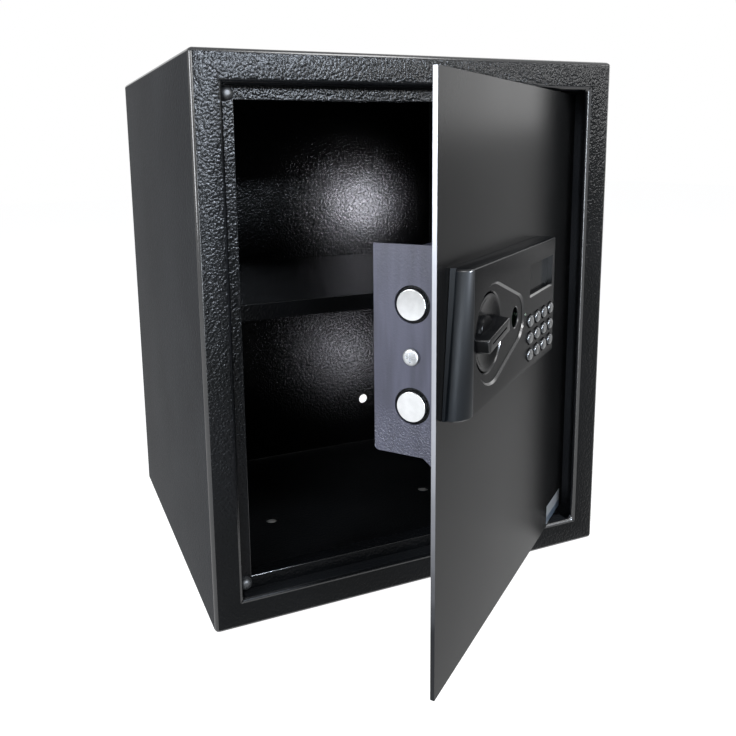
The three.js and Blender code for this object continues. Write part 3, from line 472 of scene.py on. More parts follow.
def interior_coat_painted_shade():
    """The same black coat inside, thinner, with a shallower texture, and a darker colour as painted shade.
    """
    finish, tree, shader, place = new_finish("interior_coat_painted_shade", roughness=0.21, specular_ior_level=0.08)
    # Darker than the front's coat: painted shade inside the box
    mottle(tree, shader, place, 70, "0a0b0c", "101113")
    raise_bumps(tree, shader, peel_height(tree, place, 2), 0.28)
    return finish


def satin_door_paint():
    """Smooth satin black enamel on the door sheet, with only a faint orange peel."""
    finish, tree, shader, place = new_finish("satin_door_paint", roughness=0.26, specular_ior_level=0.035)
    mottle(tree, shader, place, 110, "191a1b", "202122")
    wipe = add_node(tree, "ShaderNodeTexNoise", {"Vector": place, "Scale": 1000 / 60, "Detail": 1})
    vary_roughness(tree, shader, wipe.outputs["Fac"], 0.245, 0.275)
    peel = add_node(tree, "ShaderNodeTexNoise", {"Vector": place, "Scale": 1000 / 2.2, "Detail": 2})
    raise_bumps(tree, shader, peel.outputs["Fac"], 0.03)
    return finish


def edge_steel_painted_highlight():
    """Steel of the door's free edge: a painted highlight of bright steel that darkens to painted shade
    towards the bottom.
    """
    finish, tree, shader, place = new_finish("edge_steel_painted_highlight", metallic=1.0, roughness=0.34)
    # Painted shade low on the edge, and a painted highlight of bright steel higher up
    height = add_node(tree, "ShaderNodeSeparateXYZ", {0: place}).outputs["Z"]
    edge_wander = add_node(tree, "ShaderNodeTexNoise", {"Vector": place, "Scale": 1000 / 30, "Detail": 2})
    edge = add_node(tree, "ShaderNodeMath", {0: edge_wander.outputs["Fac"], 1: EDGE_SHADE_WANDER / 1000, 2: height},
                    operation="MULTIPLY_ADD")
    highlight_share = add_node(tree, "ShaderNodeMapRange", {
        "Value": edge.outputs[0], "From Min": EDGE_SHADED_Z / 1000, "From Max": EDGE_HIGHLIGHT_Z / 1000,
    })
    tint(tree, shader, highlight_share.outputs["Result"], "2a2b2d", "8e9096", 0.0, 1.0)
    return finish


def cover_coat_painted_light():
    """The body's black powder coat on the bolt cover, coloured a lighter violet-grey as painted light, with
    faint upright streaks.
    """
    finish, tree, shader, place = new_finish("cover_coat_painted_light", roughness=0.38, specular_ior_level=0.38)
    # Lighter than the body's coat: painted light on the cover
    upright = add_node(tree, "ShaderNodeMapping", {"Vector": place, "Scale": (1, 1, 0.12)})
    mottle(tree, shader, upright.outputs["Vector"], 7, "3b3d4c", "4a4c5d")
    # The coat is nearly smooth and gets its texture back towards the lower edge
    height = add_node(tree, "ShaderNodeSeparateXYZ", {0: place}).outputs["Z"]
    rough_share = add_node(tree, "ShaderNodeMapRange", {
        "Value": height, "From Min": COVER_SMOOTH_Z / 1000, "From Max": COVER_ROUGH_Z / 1000,
        "To Min": 0.1, "To Max": 1.0,
    })
    relief = add_node(tree, "ShaderNodeMath", {
        0: peel_height(tree, place, 1.3), 1: rough_share.outputs["Result"],
    }, operation="MULTIPLY")
    raise_bumps(tree, shader, relief.outputs[0], 0.75)
    return finish


def moulded_abs():
    """Black ABS with a fine spark-eroded grain, as the lock panel's front."""
    finish, tree, shader, place = new_finish("moulded_black_abs", roughness=0.24, specular_ior_level=0.015)
    mottle(tree, shader, place, 60, "121315", "17181a")
    # Grain of about 0.1 mm, drawn at 0.5 mm so that it shows
    grain = add_node(tree, "ShaderNodeTexNoise", {
        "Vector": place, "Scale": 1000 / 0.5, "Detail": 3, "Roughness": 0.7,
    })
    raise_bumps(tree, shader, grain.outputs["Fac"], 0.03)
    return finish


def nose_abs():
    """The same ABS on the rounded nose, with a softer sheen, tinted blue-black as a painted reflection of
    bluish light.
    """
    # The blue tint is a painted reflection
    return clouded("nose_abs_painted_blue", 60, "0f1419", "151b21", roughness=0.42, specular_ior_level=0.12)


def edge_abs():
    """The same ABS on narrow edges, where the mould was polished and each edge draws a bright line."""
    return clouded("smooth_edge_abs", 60, "131518", "191b1e", roughness=0.22, specular_ior_level=0.45)


def polished_abs():
    """The knob's black ABS, smoother where fingers turn it."""
    finish, tree, shader, place = new_finish("smooth_black_abs", roughness=0.22, specular_ior_level=0.04)
    broad = mottle(tree, shader, place, 14, "131416", "191a1c")
    vary_roughness(tree, shader, broad, 0.2, 0.26)
    grain = add_node(tree, "ShaderNodeTexNoise", {
        "Vector": place, "Scale": 1000 / 0.6, "Detail": 2, "Roughness": 0.6,
    })
    raise_bumps(tree, shader, grain.outputs["Fac"], 0.012)
    return finish


def bright_chrome():
    """Polished chrome plate on the bolts: a clear reflection with faint turning marks."""
    return clouded("polished_chrome", 6, "bcbec0", "c4c6c8", rough=(0.1, 0.13), metallic=1.0, roughness=0.12)


def silver_key_plate():
    """Satin chrome on moulded key caps."""
    return clouded("satin_chrome_plate", 3, "424446", "545658", rough=(0.2, 0.3),
                   metallic=1.0, roughness=0.27)


def zinc_plate():
    """Bright zinc plate on pressed steel: slightly mottled grey."""
    return clouded("zinc_plated_steel", 5, "8a8c8e", "a4a6a8", 3, rough=(0.28, 0.45),
                   metallic=1.0, roughness=0.35)


def turned_brass():
    """Brass of the lock plug, dulled by handling."""
    return clouded("turned_brass", 2.5, "8f7440", "b99a5c", 3, rough=(0.24, 0.42),
                   metallic=1.0, roughness=0.3)


def bumper_rubber():
    """Grey translucent elastomer of the door bumpers: soft, nearly matt."""
    finish, tree, shader, place = new_finish("grey_elastomer", roughness=0.5, ior=1.5)
    cloud = mottle(tree, shader, place, 3, "3c3e40", "4c4f50")
    raise_bumps(tree, shader, cloud, 0.05)
    return finish


def smoked_acrylic():
    """Smoked display window, too dark to see through while the display is off."""
    return clouded("smoked_acrylic", 25, "1c1e20", "242628", 1, rough=(0.1, 0.16),
                   roughness=0.12, specular_ior_level=0.01)


def display_glass():
    """Grey-green liquid crystal glass at rest."""
    return clouded("liquid_crystal_glass", 12, "4b5048", "555a50", 1, roughness=0.2, ior=1.5)


def circuit_board():
    """Green solder mask over woven glass."""
    return clouded("solder_masked_board", 0.8, "173f22", "1f512c", 1, roughness=0.35, ior=1.5)


def light_lens():
    """Clear green lens of the status light, unlit."""
    return clouded("green_lamp_lens", 1.5, "5f7a68", "86a08c", 1, roughness=0.12, ior=1.5)


def cell_jacket():
    """Shrink sleeve of a dry cell, dark with a copper-coloured band at one end."""
    finish, tree, shader, place = new_finish("cell_sleeve", metallic=0.4, roughness=0.3)
    height = add_node(tree, "ShaderNodeSeparateXYZ", {0: place}).outputs["Z"]
    band = add_node(tree, "ShaderNodeMath", {0: height, 1: CELL_BAND_Z / 1000}, operation="GREATER_THAN")
    tint(tree, shader, band.outputs[0], "2c2f34", "a9784e", 0.4, 0.6)
    cloud = add_node(tree, "ShaderNodeTexNoise", {"Vector": place, "Scale": 1000 / 4, "Detail": 2})
    vary_roughness(tree, shader, cloud.outputs["Fac"], 0.25, 0.36)
    return finish


def red_plastic():
    """Red moulded plastic of the code button."""
    return clouded("red_moulded_plastic", 2, "8a1c18", "9c241e", roughness=0.35, ior=1.5)


def ribbon_sleeve():
    """Grey PVC of the flat cable, with the light and shade of its wire ribs painted as stripes."""
    finish, tree, shader, place = new_finish("grey_ribbon_sleeve", roughness=0.5, ior=1.5)
    rib_stripes = add_node(tree, "ShaderNodeTexWave", {"Vector": place, "Scale": 1000 / WIRE_PITCH / math.tau})
    # Lighter and darker stripes at the wire pitch: painted light and shade of the ribs
    tint(tree, shader, rib_stripes.outputs["Fac"], "7c7c7a", "9a9a98")
    return finish


def label_film():
    """Pale vinyl of the blank label, with a slate-blue lower band."""
    finish, tree, shader, place = new_finish("pale_label_vinyl", roughness=0.3, ior=1.5)
    height = add_node(tree, "ShaderNodeSeparateXYZ", {0: place}).outputs["Z"]
    band = add_node(tree, "ShaderNodeMath", {0: height, 1: LABEL_BAND_Z / 1000}, operation="GREATER_THAN")
    tint(tree, shader, band.outputs[0], "5f7186", "b9c0c8", 0.4, 0.6)
    cloud = add_node(tree, "ShaderNodeTexNoise", {"Vector": place, "Scale": 1000 / 8, "Detail": 2})
    vary_roughness(tree, shader, cloud.outputs["Fac"], 0.25, 0.36)
    return finish


def key_ink():
    """Black pad-printed ink of the digits."""
    return clouded("black_pad_ink", 1, "17181a", "232426", roughness=0.5, ior=1.5)


# Making of pieces

def deselect():
    bpy.ops.object.select_all(action="DESELECT")


def only(piece):
    deselect()
    piece.select_set(True)
    bpy.context.view_layer.objects.active = piece


def named(name):
    """The primitive that was just added, with its place taken into its mesh."""
    piece = bpy.context.active_object
    piece.name = name
    bpy.ops.object.transform_apply(location=True, rotation=True, scale=True)
    return piece


def cube(name, x0, x1, y0, y1, z0, z1):
    deselect()
    bpy.ops.mesh.primitive_cube_add(
        size=1,
        location=((x0 + x1) / 2, (y0 + y1) / 2, (z0 + z1) / 2),
        scale=(x1 - x0, y1 - y0, z1 - z0),
    )
    return named(name)


def ring_start(name, centre, radius, sides, along):
    """A filled circle that faces along the y or x axis."""
    turn = (math.pi / 2, 0, 0) if along == "y" else (0, math.pi / 2, 0)
    deselect()
    bpy.ops.mesh.primitive_circle_add(vertices=sides, radius=radius, fill_type="NGON",
                                      location=centre, rotation=turn)
    return named(name)


def turned(name, centre, profile, sides, along="y"):
    """A round piece drawn out ring by ring: profile gives radius and place along the axis."""
    x, y, z = centre
    radius, depth = profile[0]
    start = (x, depth, z) if along == "y" else (depth, y, z)
    piece = ring_start(name, start, radius, sides, along)
    bpy.ops.object.mode_set(mode="EDIT")
    bpy.ops.mesh.select_mode(type="FACE")
    bpy.ops.mesh.select_all(action="SELECT")
    for next_radius, next_depth in profile[1:]:
        step = next_depth - depth
        move = (0, step, 0) if along == "y" else (step, 0, 0)
        middle = (x, next_depth, z) if along == "y" else (next_depth, y, z)
        share = next_radius / radius
        size = (share, 1, share) if along == "y" else (1, share, share)
        bpy.ops.mesh.extrude_region_move(TRANSFORM_OT_translate={"value": move})
        bpy.ops.transform.resize(value=size, center_override=middle)
        radius, depth = next_radius, next_depth
    bpy.ops.mesh.select_all(action="SELECT")
    bpy.ops.mesh.normals_make_consistent(inside=False)
    bpy.ops.object.mode_set(mode="OBJECT")
    return piece


def rod(name, centre, radius, y0, y1, sides):
    """A round bar along the y axis."""
    return turned(name, centre, [(radius, y0), (radius, y1)], sides)


def choose_edges(piece, test):
    """In edit mode, selects the edges whose two ends pass the test."""
    bpy.ops.mesh.select_mode(type="EDGE")
    bpy.ops.mesh.select_all(action="DESELECT")
    mesh = bmesh.from_edit_mesh(piece.data)
    for edge in mesh.edges:
        first, second = (vertex.co for vertex in edge.verts)
        edge.select_set(test(first, second))
    bmesh.update_edit_mesh(piece.data)


def choose_faces(piece, test):
    """In edit mode, selects the faces whose middle and normal pass the test."""
    bpy.ops.mesh.select_mode(type="FACE")
    bpy.ops.mesh.select_all(action="DESELECT")
    mesh = bmesh.from_edit_mesh(piece.data)
    for face in mesh.faces:
        face.select_set(test(face.calc_center_median(), face.normal))
    bmesh.update_edit_mesh(piece.data)


def combine(piece, tool, operation="DIFFERENCE"):
    """Cuts the tool from the piece, or adds it, and removes the tool."""
    only(piece)
    change = piece.modifiers.new("cut", "BOOLEAN")
    change.operation = operation
    change.solver = "EXACT"
    change.object = tool
    bpy.ops.object.modifier_apply(modifier=change.name)
    bpy.data.objects.remove(tool)
    return piece


def joined(pieces):
    only(pieces[0])
    for piece in pieces[1:]:
        piece.select_set(True)
    bpy.ops.object.join()
    return pieces[0]


def soften(piece, width, angle=35):
    """Rounds the edges over angle, so that they catch light, and keeps the flat faces flat."""
    only(piece)
    bpy.ops.object.shade_smooth_by_angle(angle=math.radians(40))
    bevel = piece.modifiers.new("round_edges", "BEVEL")
    bevel.width = width
    bevel.segments = 2
    bevel.limit_method = "ANGLE"
    bevel.angle_limit = math.radians(angle)
    bevel.harden_normals = True
    bpy.ops.object.modifier_apply(modifier=bevel.name)
    return piece


def even_shading(piece):
    """Smooth shading that leans towards the large faces."""
    only(piece)
    bpy.ops.object.shade_smooth_by_angle(angle=math.radians(50))
    weights = piece.modifiers.new("weighted", "WEIGHTED_NORMAL")
    weights.keep_sharp = True
    weights.weight = 90
    bpy.ops.object.modifier_apply(modifier=weights.name)


def settle(piece, place, body, finish, nodes=()):
    """Puts a finished piece at its place in metres, on its body, with its material."""
    piece.data.transform(METRE @ place)
    piece.data.update()
    dress(piece, body, finish, nodes)


def dress(piece, body, finish, nodes=()):
    if finish is not None:
        piece.data.materials.clear()
        piece.data.materials.append(finish)
    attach(piece, body)
    if nodes:
        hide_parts(*nodes)


def refined(node, body, finish, width, bends):
    """A copy of a CAD node with its facets merged and its edges rounded, which replaces it."""
    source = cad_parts[node]
    piece = bpy.data.objects.new(node + "_finished", source.data.copy())
    bpy.context.scene.collection.objects.link(piece)
    only(piece)
    bpy.ops.object.mode_set(mode="EDIT")
    bpy.ops.mesh.select_all(action="SELECT")
    bpy.ops.mesh.remove_doubles(threshold=2e-6)
    bpy.ops.mesh.customdata_custom_splitnormals_clear()
    bpy.ops.mesh.dissolve_limited(angle_limit=math.radians(1))
    bpy.ops.object.mode_set(mode="OBJECT")
    soften(piece, width / 1000)
    dress(piece, body, finish, (node,))
    if bends:
        turn = (ON_DOOR if body == "door" else IN_CABINET).to_3x3().inverted()
        smooth_bends(piece, finish, bends, turn)


def smooth_bends(piece, flat, bends, turn=Matrix.Identity(3)):
    """One finish for the flat faces, and another for the bends and the faces that look left."""
    piece.data.materials.clear()
    for finish in (flat, bends):
        piece.data.materials.append(finish)
    for face in piece.data.polygons:
        normal = turn @ face.normal
        face.material_index = int(max(abs(share) for share in normal) < FLAT_SHARE or normal.x < -FACING)


# The body

def body_walls():
    """The open box with its front flange folded in round the door, before it has thickness."""
    half = BODY_WIDTH / 2
    body = cube("folded_body", -half, half, 0, BODY_DEPTH, 0, BODY_HEIGHT)
    bpy.ops.object.mode_set(mode="EDIT")
    choose_faces(body, lambda middle, normal: normal.y > FACING)
    bpy.ops.mesh.delete(type="ONLY_FACE")
    choose_faces(body, lambda middle, normal: normal.y < -FACING)
    bpy.ops.mesh.inset(thickness=FLANGE)
    bpy.ops.mesh.extrude_region_move(TRANSFORM_OT_translate={"value": (0, REBATE_DEPTH, 0)})
    bpy.ops.mesh.delete(type="ONLY_FACE")
    outer = half - 1

    def on_outside(point):
        return abs(point.x) > outer or point.z < 1 or point.z > BODY_HEIGHT - 1

    def outer_edge(first, second):
        if not (on_outside(first) and on_outside(second)):
            return False
        along_depth = abs(first.x - second.x) < 1 and abs(first.z - second.z) < 1
        return along_depth or (first.y < 1 and second.y < 1)

    choose_edges(body, outer_edge)
    bpy.ops.mesh.bevel(offset=BODY_BEND, segments=6, profile=0.5)
    low = FLANGE - 1
    high = BODY_HEIGHT - FLANGE + 1

    def at_opening(point):
        return OPEN_LEFT - 1 < point.x < OPEN_RIGHT + 1 and low < point.z < high

    def opening_edge(first, second):
        if not (at_opening(first) and at_opening(second)):
            return False
        along_depth = abs(first.y - second.y) > 1
        return along_depth or (first.y < 1 and second.y < 1)

    choose_edges(body, opening_edge)
    bpy.ops.mesh.bevel(offset=BODY_BEND, segments=5, profile=0.5)
    bpy.ops.mesh.select_all(action="SELECT")
    bpy.ops.mesh.normals_make_consistent(inside=False)
    bpy.ops.object.mode_set(mode="OBJECT")
    return body


def coat_walls(body, finishes):
    """Textured coat on the front, flatter coat on the walls, smooth coat over the bends."""
    looks = ("walls", "frame", "bends")
    body.data.materials.clear()
    for look in looks:
        body.data.materials.append(finishes[look])
    for face in body.data.polygons:
        if max(abs(share) for share in face.normal) < FLAT_SHARE:
            face.material_index = looks.index("bends")
        elif face.normal.y < -FACING and face.center.y < REBATE_DEPTH - SHEET:
            face.material_index = looks.index("frame")


def make_body(finishes):
    body = body_walls()
    only(body)
    thick = body.modifiers.new("sheet", "SOLIDIFY")
    thick.thickness = SHEET
    thick.offset = -1
    thick.use_even_offset = True
    bpy.ops.object.modifier_apply(modifier=thick.name)
    pocket = cube("pocket", POCKET_START, BODY_WIDTH / 2 - SHEET - PAST, POCKET_DEPTH, REBATE_DEPTH + PAST,
                  FLANGE - 2 * SHEET, BODY_HEIGHT - FLANGE + 2 * SHEET)
    combine(body, pocket)
    for x in (-ANCHOR_X, ANCHOR_X):
        deselect()
        bpy.ops.mesh.primitive_cylinder_add(vertices=48, radius=ANCHOR_RADIUS, depth=4 * SHEET,
                                            location=(x, BODY_DEPTH / 2, SHEET / 2))
        combine(body, named("anchor_hole"))
    soften(body, width=0.35, angle=60)
    coat_walls(body, finishes)
    settle(body, IN_CABINET, "cabinet", None, ("body_shell",))


def make_bumpers(finish):
    top = REBATE_DEPTH - BUMPER_HEIGHT
    profile = [
        (BUMPER_RADIUS * 0.2, top), (BUMPER_RADIUS * 0.5, top + 0.25), (BUMPER_RADIUS * 0.78, top + 1.0),
        (BUMPER_RADIUS * 0.94, top + 2.1), (BUMPER_RADIUS, top + 3.4), (BUMPER_RADIUS, REBATE_DEPTH),
        (BUMPER_STEM, REBATE_DEPTH), (BUMPER_STEM, REBATE_DEPTH + 4),
    ]
    for name, z in (("upper", BODY_HEIGHT - BUMPER_LOW_Z), ("lower", BUMPER_LOW_Z)):
        bumper = turned("rubber_bumper_" + name, (BUMPER_X, 0, z), profile, 40)
        even_shading(bumper)
        settle(bumper, IN_CABINET, "cabinet", finish, ("bumper_" + name,))


# The lock panel

def drop_tool(floor):
    """Cutter for the drop-shaped recess round the knob and the keyhole."""
    lean = math.acos((DROP_BIG - DROP_SMALL) / (KEYHOLE_X - DROP_X))
    front = PANEL_FACE - 2
    tool = ring_start("drop", (DROP_X, front, DROP_Z), DROP_BIG, 160, "y")
    bpy.ops.object.mode_set(mode="EDIT")
    bpy.ops.mesh.select_mode(type="VERT")
    bpy.ops.mesh.select_all(action="DESELECT")
    mesh = bmesh.from_edit_mesh(tool.data)
    for vertex in mesh.verts:
        reach = vertex.co.x - DROP_X
        vertex.select_set(reach > DROP_BIG * math.cos(lean) - 1e-3)
    bmesh.update_edit_mesh(tool.data)
    share = DROP_SMALL / DROP_BIG
    bpy.ops.transform.resize(value=(share, 1, share), center_override=(DROP_X, front, DROP_Z))
    bpy.ops.transform.translate(value=(KEYHOLE_X - DROP_X, 0, 0))
    bpy.ops.mesh.select_mode(type="FACE")
    bpy.ops.mesh.select_all(action="SELECT")
    bpy.ops.mesh.extrude_region_move(TRANSFORM_OT_translate={"value": (0, PANEL_FACE - front, 0)})
    bpy.ops.mesh.inset(thickness=DROP_BEVEL)
    bpy.ops.transform.translate(value=(0, floor, 0))
    bpy.ops.mesh.select_all(action="SELECT")
    bpy.ops.mesh.normals_make_consistent(inside=False)
    bpy.ops.object.mode_set(mode="OBJECT")
    # The recess ends where the rounded nose begins
    nose = cube("nose", PANEL_LEFT - 5, DROP_START, front - PAST, PANEL_FACE + 2 * floor, PANEL_BOTTOM,
                PANEL_TOP)
    return combine(tool, nose)


def key_centres():
    """The keys' middles, row by row from the top left."""
    for row in range(KEY_ROWS):
        z = PANEL_BOTTOM + KEY_FIRST_Q - row * KEY_PITCH_Q
        for column in range(KEY_COLUMNS):
            yield PANEL_LEFT + KEY_FIRST_P + column * KEY_PITCH_P, z


def oval_rod(name, x, z, grow, y0, y1):
    """An oval prism of a key's outline, larger by grow."""
    piece = rod(name, (x, 0, z), KEY_HALF_WIDTH + grow, y0, y1, 48)
    bpy.ops.object.mode_set(mode="EDIT")
    bpy.ops.mesh.select_all(action="SELECT")
    share = (KEY_HALF_HEIGHT + grow) / (KEY_HALF_WIDTH + grow)
    bpy.ops.transform.resize(value=(1, 1, share), center_override=(x, y0, z))
    bpy.ops.object.mode_set(mode="OBJECT")
    return piece


def rounded_case(name, inset, back):
    """The panel's block, smaller by inset, whose rounded nose reaches further out at the bottom."""
    face = PANEL_FACE + inset
    start = NOSE_START + inset
    left = start - NOSE_DEPTH
    case = cube(name, left, PANEL_RIGHT - inset, face, back, PANEL_BOTTOM + inset, PANEL_TOP - inset)
    bpy.ops.object.mode_set(mode="EDIT")
    choose_edges(case, lambda a, b: max(a.x, b.x) < left + 1 and max(a.y, b.y) < face + 1)
    bpy.ops.mesh.bevel(offset=NOSE_DEPTH, segments=16, profile=0.5)
    middle = PANEL_BOTTOM + PANEL_HEIGHT / 2

    def in_nose(point, side):
        return point.x < start - 0.01 and side * (point.z - middle) > 0

    for side, share in ((1, NOSE_TOP_SHARE), (-1, NOSE_BOTTOM_SHARE)):
        choose_edges(case, lambda a, b: in_nose(a, side) and in_nose(b, side))
        stretch = share * NOSE_LENGTH / NOSE_DEPTH
        bpy.ops.transform.resize(value=(stretch, 1, 1), center_override=(start, face, middle))
    bpy.ops.object.mode_set(mode="OBJECT")
    return case


def sill_tool():
    """Cutter that slopes the lower edge of the display's opening."""
    front = PANEL_FACE - PAST
    drop = PAST + SILL
    tool = cube("sill", DISPLAY_LEFT, DISPLAY_RIGHT, front, front + drop, DISPLAY_LOW - drop,
                DISPLAY_LOW + PAST)
    bpy.ops.object.mode_set(mode="EDIT")
    choose_edges(tool, lambda a, b: min(a.y, b.y) > front + 1 and max(a.z, b.z) < DISPLAY_LOW)
    bpy.ops.transform.translate(value=(0, 0, drop))
    bpy.ops.object.mode_set(mode="OBJECT")
    return tool


def make_panel(finishes):
    panel = rounded_case("lock_case", 0, -FIT)
    face = PANEL_FACE
    bpy.ops.object.mode_set(mode="EDIT")

    def front_rim(first, second):
        """Edges round the front face and along the nose's two ends."""
        in_top = min(first.z, second.z) > PANEL_TOP - 0.1
        in_bottom = max(first.z, second.z) < PANEL_BOTTOM + 0.1
        at_right = min(first.x, second.x) > PANEL_RIGHT - 0.1
        away_from_back = max(first.y, second.y) < -FIT - 0.1
        at_face = max(first.y, second.y) < face + 0.1
        return (away_from_back and (in_top or in_bottom)) or (at_face and at_right)

    choose_edges(panel, front_rim)
    bpy.ops.mesh.bevel(offset=PANEL_EDGE, segments=3, profile=0.5)
    bpy.ops.object.mode_set(mode="OBJECT")
    combine(panel, rounded_case("hollow", PANEL_WALL, PAST))
    wall_back = face + PANEL_WALL
    boss = rod("boss", (KNOB_X, 0, KNOB_Z), DISH_RIM, wall_back - PAST, face + DISH_FLOOR + DISH_WALL, 96)
    combine(panel, boss, "UNION")
    rim = DISPLAY_FRAME
    well = cube("well", DISPLAY_LEFT - rim, DISPLAY_RIGHT + rim, wall_back - PAST,
                face + DISPLAY_DEPTH + DISPLAY_SEAT, DISPLAY_LOW - rim, DISPLAY_HIGH + rim)
    combine(panel, well, "UNION")
    combine(panel, drop_tool(DROP_DEPTH))
    dish = turned("dish", (KNOB_X, 0, KNOB_Z), [
        (DISH_RIM + 2, face - 2), (DISH_RIM, face), (DISH_RADIUS, face + DISH_CHAMFER),
        (DISH_RADIUS, face + DISH_FLOOR),
    ], 128)
    combine(panel, dish)
    combine(panel, rod("shaft_hole", (KNOB_X, 0, KNOB_Z), SHAFT_HOLE, face, PAST, 32))
    keyhole = turned("keyhole", (KEYHOLE_X, 0, KEYHOLE_Z), [
        (KEYHOLE_RADIUS + 1.4, face + DROP_DEPTH - 0.8), (KEYHOLE_RADIUS, face + DROP_DEPTH + 0.6),
        (KEYHOLE_RADIUS, PAST),
    ], 64)
    combine(panel, keyhole)
    combine(panel, rod("light_hole", (LIGHT_X, 0, LIGHT_Z), LIGHT_RADIUS + FIT, face - PAST, PAST, 24))
    combine(panel, cube("window_hole", DISPLAY_LEFT, DISPLAY_RIGHT, face - PAST, PAST, DISPLAY_LOW,
                        DISPLAY_HIGH))
    combine(panel, sill_tool())
    holes = [oval_rod("key_hole", x, z, KEY_GAP, face - PAST, wall_back + PAST) for x, z in key_centres()]
    combine(panel, joined(holes))
    soften(panel, width=0.3, angle=30)
    smooth_bends(panel, finishes["abs"], finishes["abs_edges"])
    nose_slot = len(panel.data.materials)
    panel.data.materials.append(finishes["abs_nose"])
    for side in panel.data.polygons:
        if side.center.x < NOSE_START and abs(side.normal.z) < NOSE_SLOPE:
            side.material_index = nose_slot
    settle(panel, ON_DOOR, "door", None, ("lock_panel",))


def make_knob(finishes):
    face = PANEL_FACE
    rim = face + KNOB_RIM
    bowl = face + KNOB_BOWL
    centre = (KNOB_X, 0, KNOB_Z)
    bowl_start = rim + 0.3
    knob = turned("turn_knob", centre, [
        (KNOB_DISC * 0.02, bowl), (KNOB_DISC * 0.5, bowl - 0.4), (KNOB_DISC * 0.67, bowl - 1.05),
        (KNOB_DISC * 0.8, bowl - 1.9), (KNOB_DISC * 0.89, bowl - 2.95), (KNOB_DISC * 0.95, rim),
        (KNOB_DISC, rim), (KNOB_DISC, face + DISH_FLOOR - FIT),
    ], 128)
    hub = turned("hub", centre, [
        (HUB_RADIUS - 0.5, face + HUB_DROP), (HUB_RADIUS, face + HUB_DROP + 0.5),
        (HUB_RADIUS + 0.6, bowl + PAST),
    ], 96)
    combine(knob, hub, "UNION")
    front = face - BAR_PROUD
    bar_z = KNOB_Z - BAR_DROP
    bar = cube("bar", KNOB_X - BAR_LENGTH / 2, KNOB_X + BAR_LENGTH / 2, front, bowl + PAST,
               bar_z - BAR_HEIGHT / 2, bar_z + BAR_HEIGHT / 2)
    bpy.ops.object.mode_set(mode="EDIT")
    choose_faces(bar, lambda middle, normal: normal.y < -FACING)
    share = 1 - 2 * BAR_SLANT / BAR_LENGTH
    bpy.ops.transform.resize(value=(share, 1, 1), center_override=(KNOB_X, front, bar_z))
    choose_edges(bar, lambda a, b: abs(a.y - b.y) > 1)
    bpy.ops.mesh.bevel(offset=BAR_CORNER, segments=3, profile=0.5)
    choose_edges(bar, lambda a, b: max(a.y, b.y) < front + 0.1)
    bpy.ops.mesh.bevel(offset=BAR_EDGE, segments=3, profile=0.5)
    bpy.ops.object.mode_set(mode="OBJECT")
    groove = cube("groove", KNOB_X - GROOVE_LENGTH / 2, KNOB_X + GROOVE_LENGTH / 2, front - PAST,
                  front + GROOVE_DEPTH, bar_z - GROOVE_WIDTH / 2, bar_z + GROOVE_WIDTH / 2)
    combine(bar, groove)
    middle = Matrix.Translation((KNOB_X, 0, KNOB_Z))
    bar.data.transform(middle @ Matrix.Rotation(math.radians(-BAR_TILT), 4, "Y") @ middle.inverted())
    combine(knob, bar, "UNION")
    soften(knob, width=0.4, angle=38)
    smooth_bends(knob, finishes["knob"], finishes["abs_edges"])
    for side in knob.data.polygons:
        if side.center.y > bowl_start or abs(side.normal.x) > FLAT_SHARE:
            side.material_index = PLAIN
    settle(knob, ON_DOOR, "knob", None, ("knob",))


def key_cap():
    """One oval key cap with its domed top, which every key copies."""
    top = PANEL_FACE - KEY_PROUD
    cap = turned("key_cap", (0, 0, 0), [
        (KEY_HALF_WIDTH * 0.3, top), (KEY_HALF_WIDTH * 0.6, top + 0.12), (KEY_HALF_WIDTH * 0.78, top + 0.42),
        (KEY_HALF_WIDTH * 0.9, top + 0.9), (KEY_HALF_WIDTH * 0.97, top + 1.5), (KEY_HALF_WIDTH, top + 2.3),
        (KEY_HALF_WIDTH, KEY_BACK),
    ], 48)
    bpy.ops.object.mode_set(mode="EDIT")
    bpy.ops.mesh.select_all(action="SELECT")
    bpy.ops.transform.resize(value=(1, 1, KEY_HALF_HEIGHT / KEY_HALF_WIDTH), center_override=(0, 0, 0))
    bpy.ops.object.mode_set(mode="OBJECT")
    even_shading(cap)
    return cap


def key_mark(sign):
    """One printed sign, 4 mm high, as a thin mesh that lies on the cap's top."""
    deselect()
    bpy.ops.object.text_add(rotation=(math.pi / 2, 0, 0))
    mark = bpy.context.active_object
    mark.data.body = sign
    mark.data.size = MARK_SIZE
    mark.data.extrude = MARK_EXTRUDE
    mark.data.align_x = "CENTER"
    mark.data.align_y = "CENTER"
    bpy.ops.object.convert(target="MESH")
    mark = bpy.context.active_object
    bpy.ops.object.transform_apply(location=True, rotation=True, scale=True)
    heights = [vertex.co.z for vertex in mark.data.vertices]
    middle = (max(heights) + min(heights)) / 2
    mark.data.transform(Matrix.Translation((0, PANEL_FACE - KEY_PROUD + MARK_SINK, -middle)))
    return mark


def make_keys(plate, ink):
    """Twelve caps, each with its own mesh and its own printed sign."""
    cap = key_cap()
    for number, ((x, z), sign) in enumerate(zip(key_centres(), KEY_MARKS), start=1):
        key = bpy.data.objects.new(f"key_cap_{number}", cap.data.copy())
        bpy.context.scene.collection.objects.link(key)
        key.data.materials.clear()
        key.data.materials.append(plate)
        mark = key_mark(sign)
        mark.data.materials.append(ink)
        joined([key, mark])
        settle(key, ON_DOOR @ Matrix.Translation((x, 0, z)), f"key_{number}", None,
               (f"key_{number}",))
    bpy.data.objects.remove(cap)


def make_light(finish):
    face = PANEL_FACE
    lens = turned("light_lens", (LIGHT_X, 0, LIGHT_Z), [
        (LIGHT_RADIUS * 0.2, face - 0.5), (LIGHT_RADIUS * 0.6, face - 0.4), (LIGHT_RADIUS * 0.9, face - 0.1),
        (LIGHT_RADIUS, face + 0.4), (LIGHT_RADIUS, BOARD_FRONT - FIT),
    ], 24)
    even_shading(lens)
    settle(lens, ON_DOOR, "door", finish, ("status_light",))


# Bolts and screws

